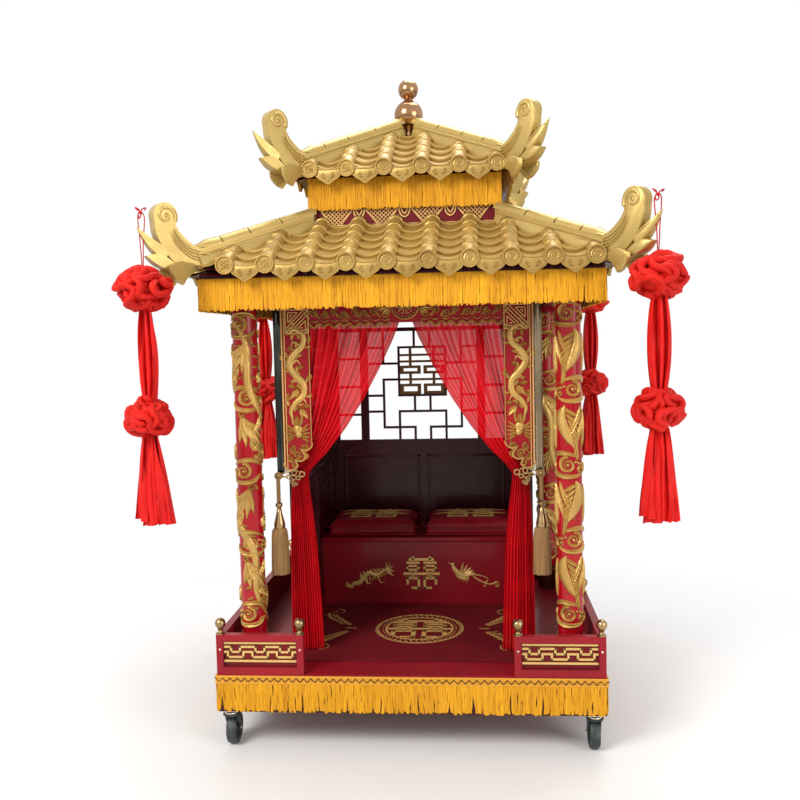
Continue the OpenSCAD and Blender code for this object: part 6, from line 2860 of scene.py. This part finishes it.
@dataclass
class Studio:
    """Camera, soft light, pale floor and white background.

    Attributes:
        spot: Camera position.
        yaw: Turn to the left, in degrees.
        pitch: Tilt up, in degrees.
        roll: Roll, in degrees.
        lens: Focal length in millimetres on a 36 mm sensor.
        sky: Strength of the soft sky.
        sky_tint: Its colour.
        fade_from: Distance from the middle where the floor starts to turn white.
        fade_to: Distance where it is white.
    """

    spot: tuple[float, float, float] = (0.27375, -4.01456, 1.59396)
    yaw: float = 4.859
    pitch: float = -3.863
    roll: float = -1.298
    lens: float = 39.89
    sky: float = 0.56
    sky_tint: Colour = (0.97, 0.98, 1)
    fade_from: float = 1.3
    fade_to: float = 2.6

    def camera(self) -> bpy.types.Object:
        """Sets up the camera."""
        yaw, pitch, roll = (math.radians(a) for a in (self.yaw, self.pitch, self.roll))
        ahead = Vector((-math.sin(yaw) * math.cos(pitch), math.cos(yaw) * math.cos(pitch), math.sin(pitch)))
        level = Vector((math.cos(yaw), math.sin(yaw), 0))
        above = level.cross(ahead)
        right = level * math.cos(roll) + above * math.sin(roll)
        up = -level * math.sin(roll) + above * math.cos(roll)
        data = bpy.data.cameras.new("camera")
        data.sensor_width, data.lens = 36.0, self.lens
        obj = placed("camera", data)
        rows = Matrix((right, up, -ahead)).transposed().to_4x4()
        obj.matrix_world = shifted(self.spot) @ rows
        bpy.context.scene.camera = obj
        return obj

    def lamp(self, name: str, spot: Sequence[float], aim: Sequence[float], size: float, power: float,
             tint: Colour = (1, 1, 1)) -> bpy.types.Object:
        """Sets up one soft square lamp.

        Args:
            name: Its name.
            spot: Where it stands.
            aim: Where it points.
            size: Edge length.
            power: Watts.
            tint: Colour.

        Returns:
            The lamp's object.
        """
        data = bpy.data.lights.new(name, "AREA")
        data.size, data.energy, data.color = size, power, tint
        obj = placed(name, data)
        turn = (Vector(aim) - Vector(spot)).to_track_quat("-Z", "Y").to_matrix().to_4x4()
        obj.matrix_world = shifted(spot) @ turn
        return obj

    def world(self) -> bpy.types.World:
        """Sets up the soft sky that the camera sees as plain white."""
        world = bpy.data.worlds.new("studio")
        world.use_nodes = True
        tree = world.node_tree
        tree.nodes.clear()
        out = tree.nodes.new("ShaderNodeOutputWorld")
        seen, sky = tree.nodes.new("ShaderNodeBackground"), tree.nodes.new("ShaderNodeBackground")
        seen.inputs["Color"].default_value, seen.inputs["Strength"].default_value = (1, 1, 1, 1), 1.0
        sky.inputs["Color"].default_value = (*self.sky_tint, 1)
        sky.inputs["Strength"].default_value = self.sky
        path = tree.nodes.new("ShaderNodeLightPath")
        either = path.outputs["Is Camera Ray"]
        for name in ("Is Transmission Ray", "Is Glossy Ray"):
            most = tree.nodes.new("ShaderNodeMath")
            most.operation = "MAXIMUM"
            tree.links.new(either, most.inputs[0])
            tree.links.new(path.outputs[name], most.inputs[1])
            either = most.outputs["Value"]
        mix = tree.nodes.new("ShaderNodeMixShader")
        tree.links.new(either, mix.inputs["Fac"])
        tree.links.new(sky.outputs["Background"], mix.inputs[1])
        tree.links.new(seen.outputs["Background"], mix.inputs[2])
        tree.links.new(mix.outputs["Shader"], out.inputs["Surface"])
        bpy.context.scene.world = world
        return world

    def floor(self) -> bpy.types.Object:
        """Makes the pale floor."""
        bm = bmesh.new()
        bmesh.ops.create_grid(bm, x_segments=1, y_segments=1, size=30)
        mesh = bpy.data.meshes.new("studio_floor")
        bm.to_mesh(mesh)
        bm.free()
        obj = placed("studio_floor", mesh)
        shader = Shader("studio_floor")
        shader.paint(shader.blend(shader.mottle(0.6, 2), (0.80, 0.79, 0.78), (0.84, 0.83, 0.82)))
        shader.gloss(shader.span(shader.mottle(5, 3), 0.3, 0.7, 0.5, 0.62))
        self.fade(shader)
        mesh.materials.append(shader.material)
        return obj

    def fade(self, shader: Shader) -> None:
        """Lets the floor run out into the white background some way from the middle."""
        tree = shader.tree
        length = tree.nodes.new("ShaderNodeVectorMath")
        length.operation = "LENGTH"
        shader.link(shader.place, length.inputs[0])
        glow = tree.nodes.new("ShaderNodeEmission")
        path = tree.nodes.new("ShaderNodeLightPath")
        mix = tree.nodes.new("ShaderNodeMixShader")
        away = shader.span(length.outputs["Value"], self.fade_from, self.fade_to)
        share = shader.sum("MULTIPLY", away, path.outputs["Is Camera Ray"])
        shader.link(share, mix.inputs["Fac"])
        shader.link(shader.skin.outputs["BSDF"], mix.inputs[1])
        shader.link(glow.outputs["Emission"], mix.inputs[2])
        shader.link(mix.outputs["Shader"], shader.out.inputs["Surface"])

    def build(self) -> None:
        """Sets up the whole studio."""
        bpy.context.scene.view_settings.view_transform = "Standard"
        objects = [self.camera(), self.floor(),
                   self.lamp("key", (-3.2, -4.6, 4.6), (0, 0, 1.3), 2.6, 340, (1, 0.98, 0.95)),
                   self.lamp("fill", (4.2, -3.8, 2.6), (0, 0, 1.2), 3.0, 120, (1, 0.97, 0.94)),
                   self.lamp("top", (0.4, 1.2, 6.0), (0, 0, 1.8), 3.0, 200)]
        self.world()


def main() -> None:
    """Builds the palanquin, sub-assembly by sub-assembly, and the studio round it."""
    logging.basicConfig(level=logging.INFO, format="%(message)s")
    assemblies = [
        RoofTier("lower", "lower_roof", "lower_hips", rise=0.4545, rows=10, shift=0.038, inner=0.3789,
                 corner_in=0.012, hip_start=0.5292),
        RoofTier("upper", "upper_roof", "upper_hips", rise=0.527, rows=6, shift=0.0, inner=0.05485,
                 corner_in=0.008, hip_start=0.040),
        TopFinial(),
        NeckFrets(),
        EaveFringe("lower_fringe", "lower_eave_fringe", seed=21),
        EaveFringe("upper_fringe", "upper_eave_fringe", seed=22),
        DeckFringe(),
        Balustrade(),
        CarvedColumn("front_left", Creature.DRAGON),
        CarvedColumn("front_right", Creature.PHOENIX),
        CarvedColumn("rear_left", Creature.PHOENIX),
        CarvedColumn("rear_right", Creature.DRAGON),
        CabinFront(),
        CabinWalls(),
        Bench(),
        Cushion("left"),
        Cushion("right"),
        Carpet(),
        Curtain("left"),
        Curtain("right"),
        SideShadeSheets(),
        CurtainHook("left"),
        CurtainHook("right"),
        *(Garland(corner) for corner in CORNERS),
        Deck(),
        *(Caster(corner) for corner in CORNERS),
    ]
    for assembly in assemblies:
        log.info("building %s", type(assembly).__name__)
        assembly.build()
    Studio().build()


if __name__ == "__main__":
    main()
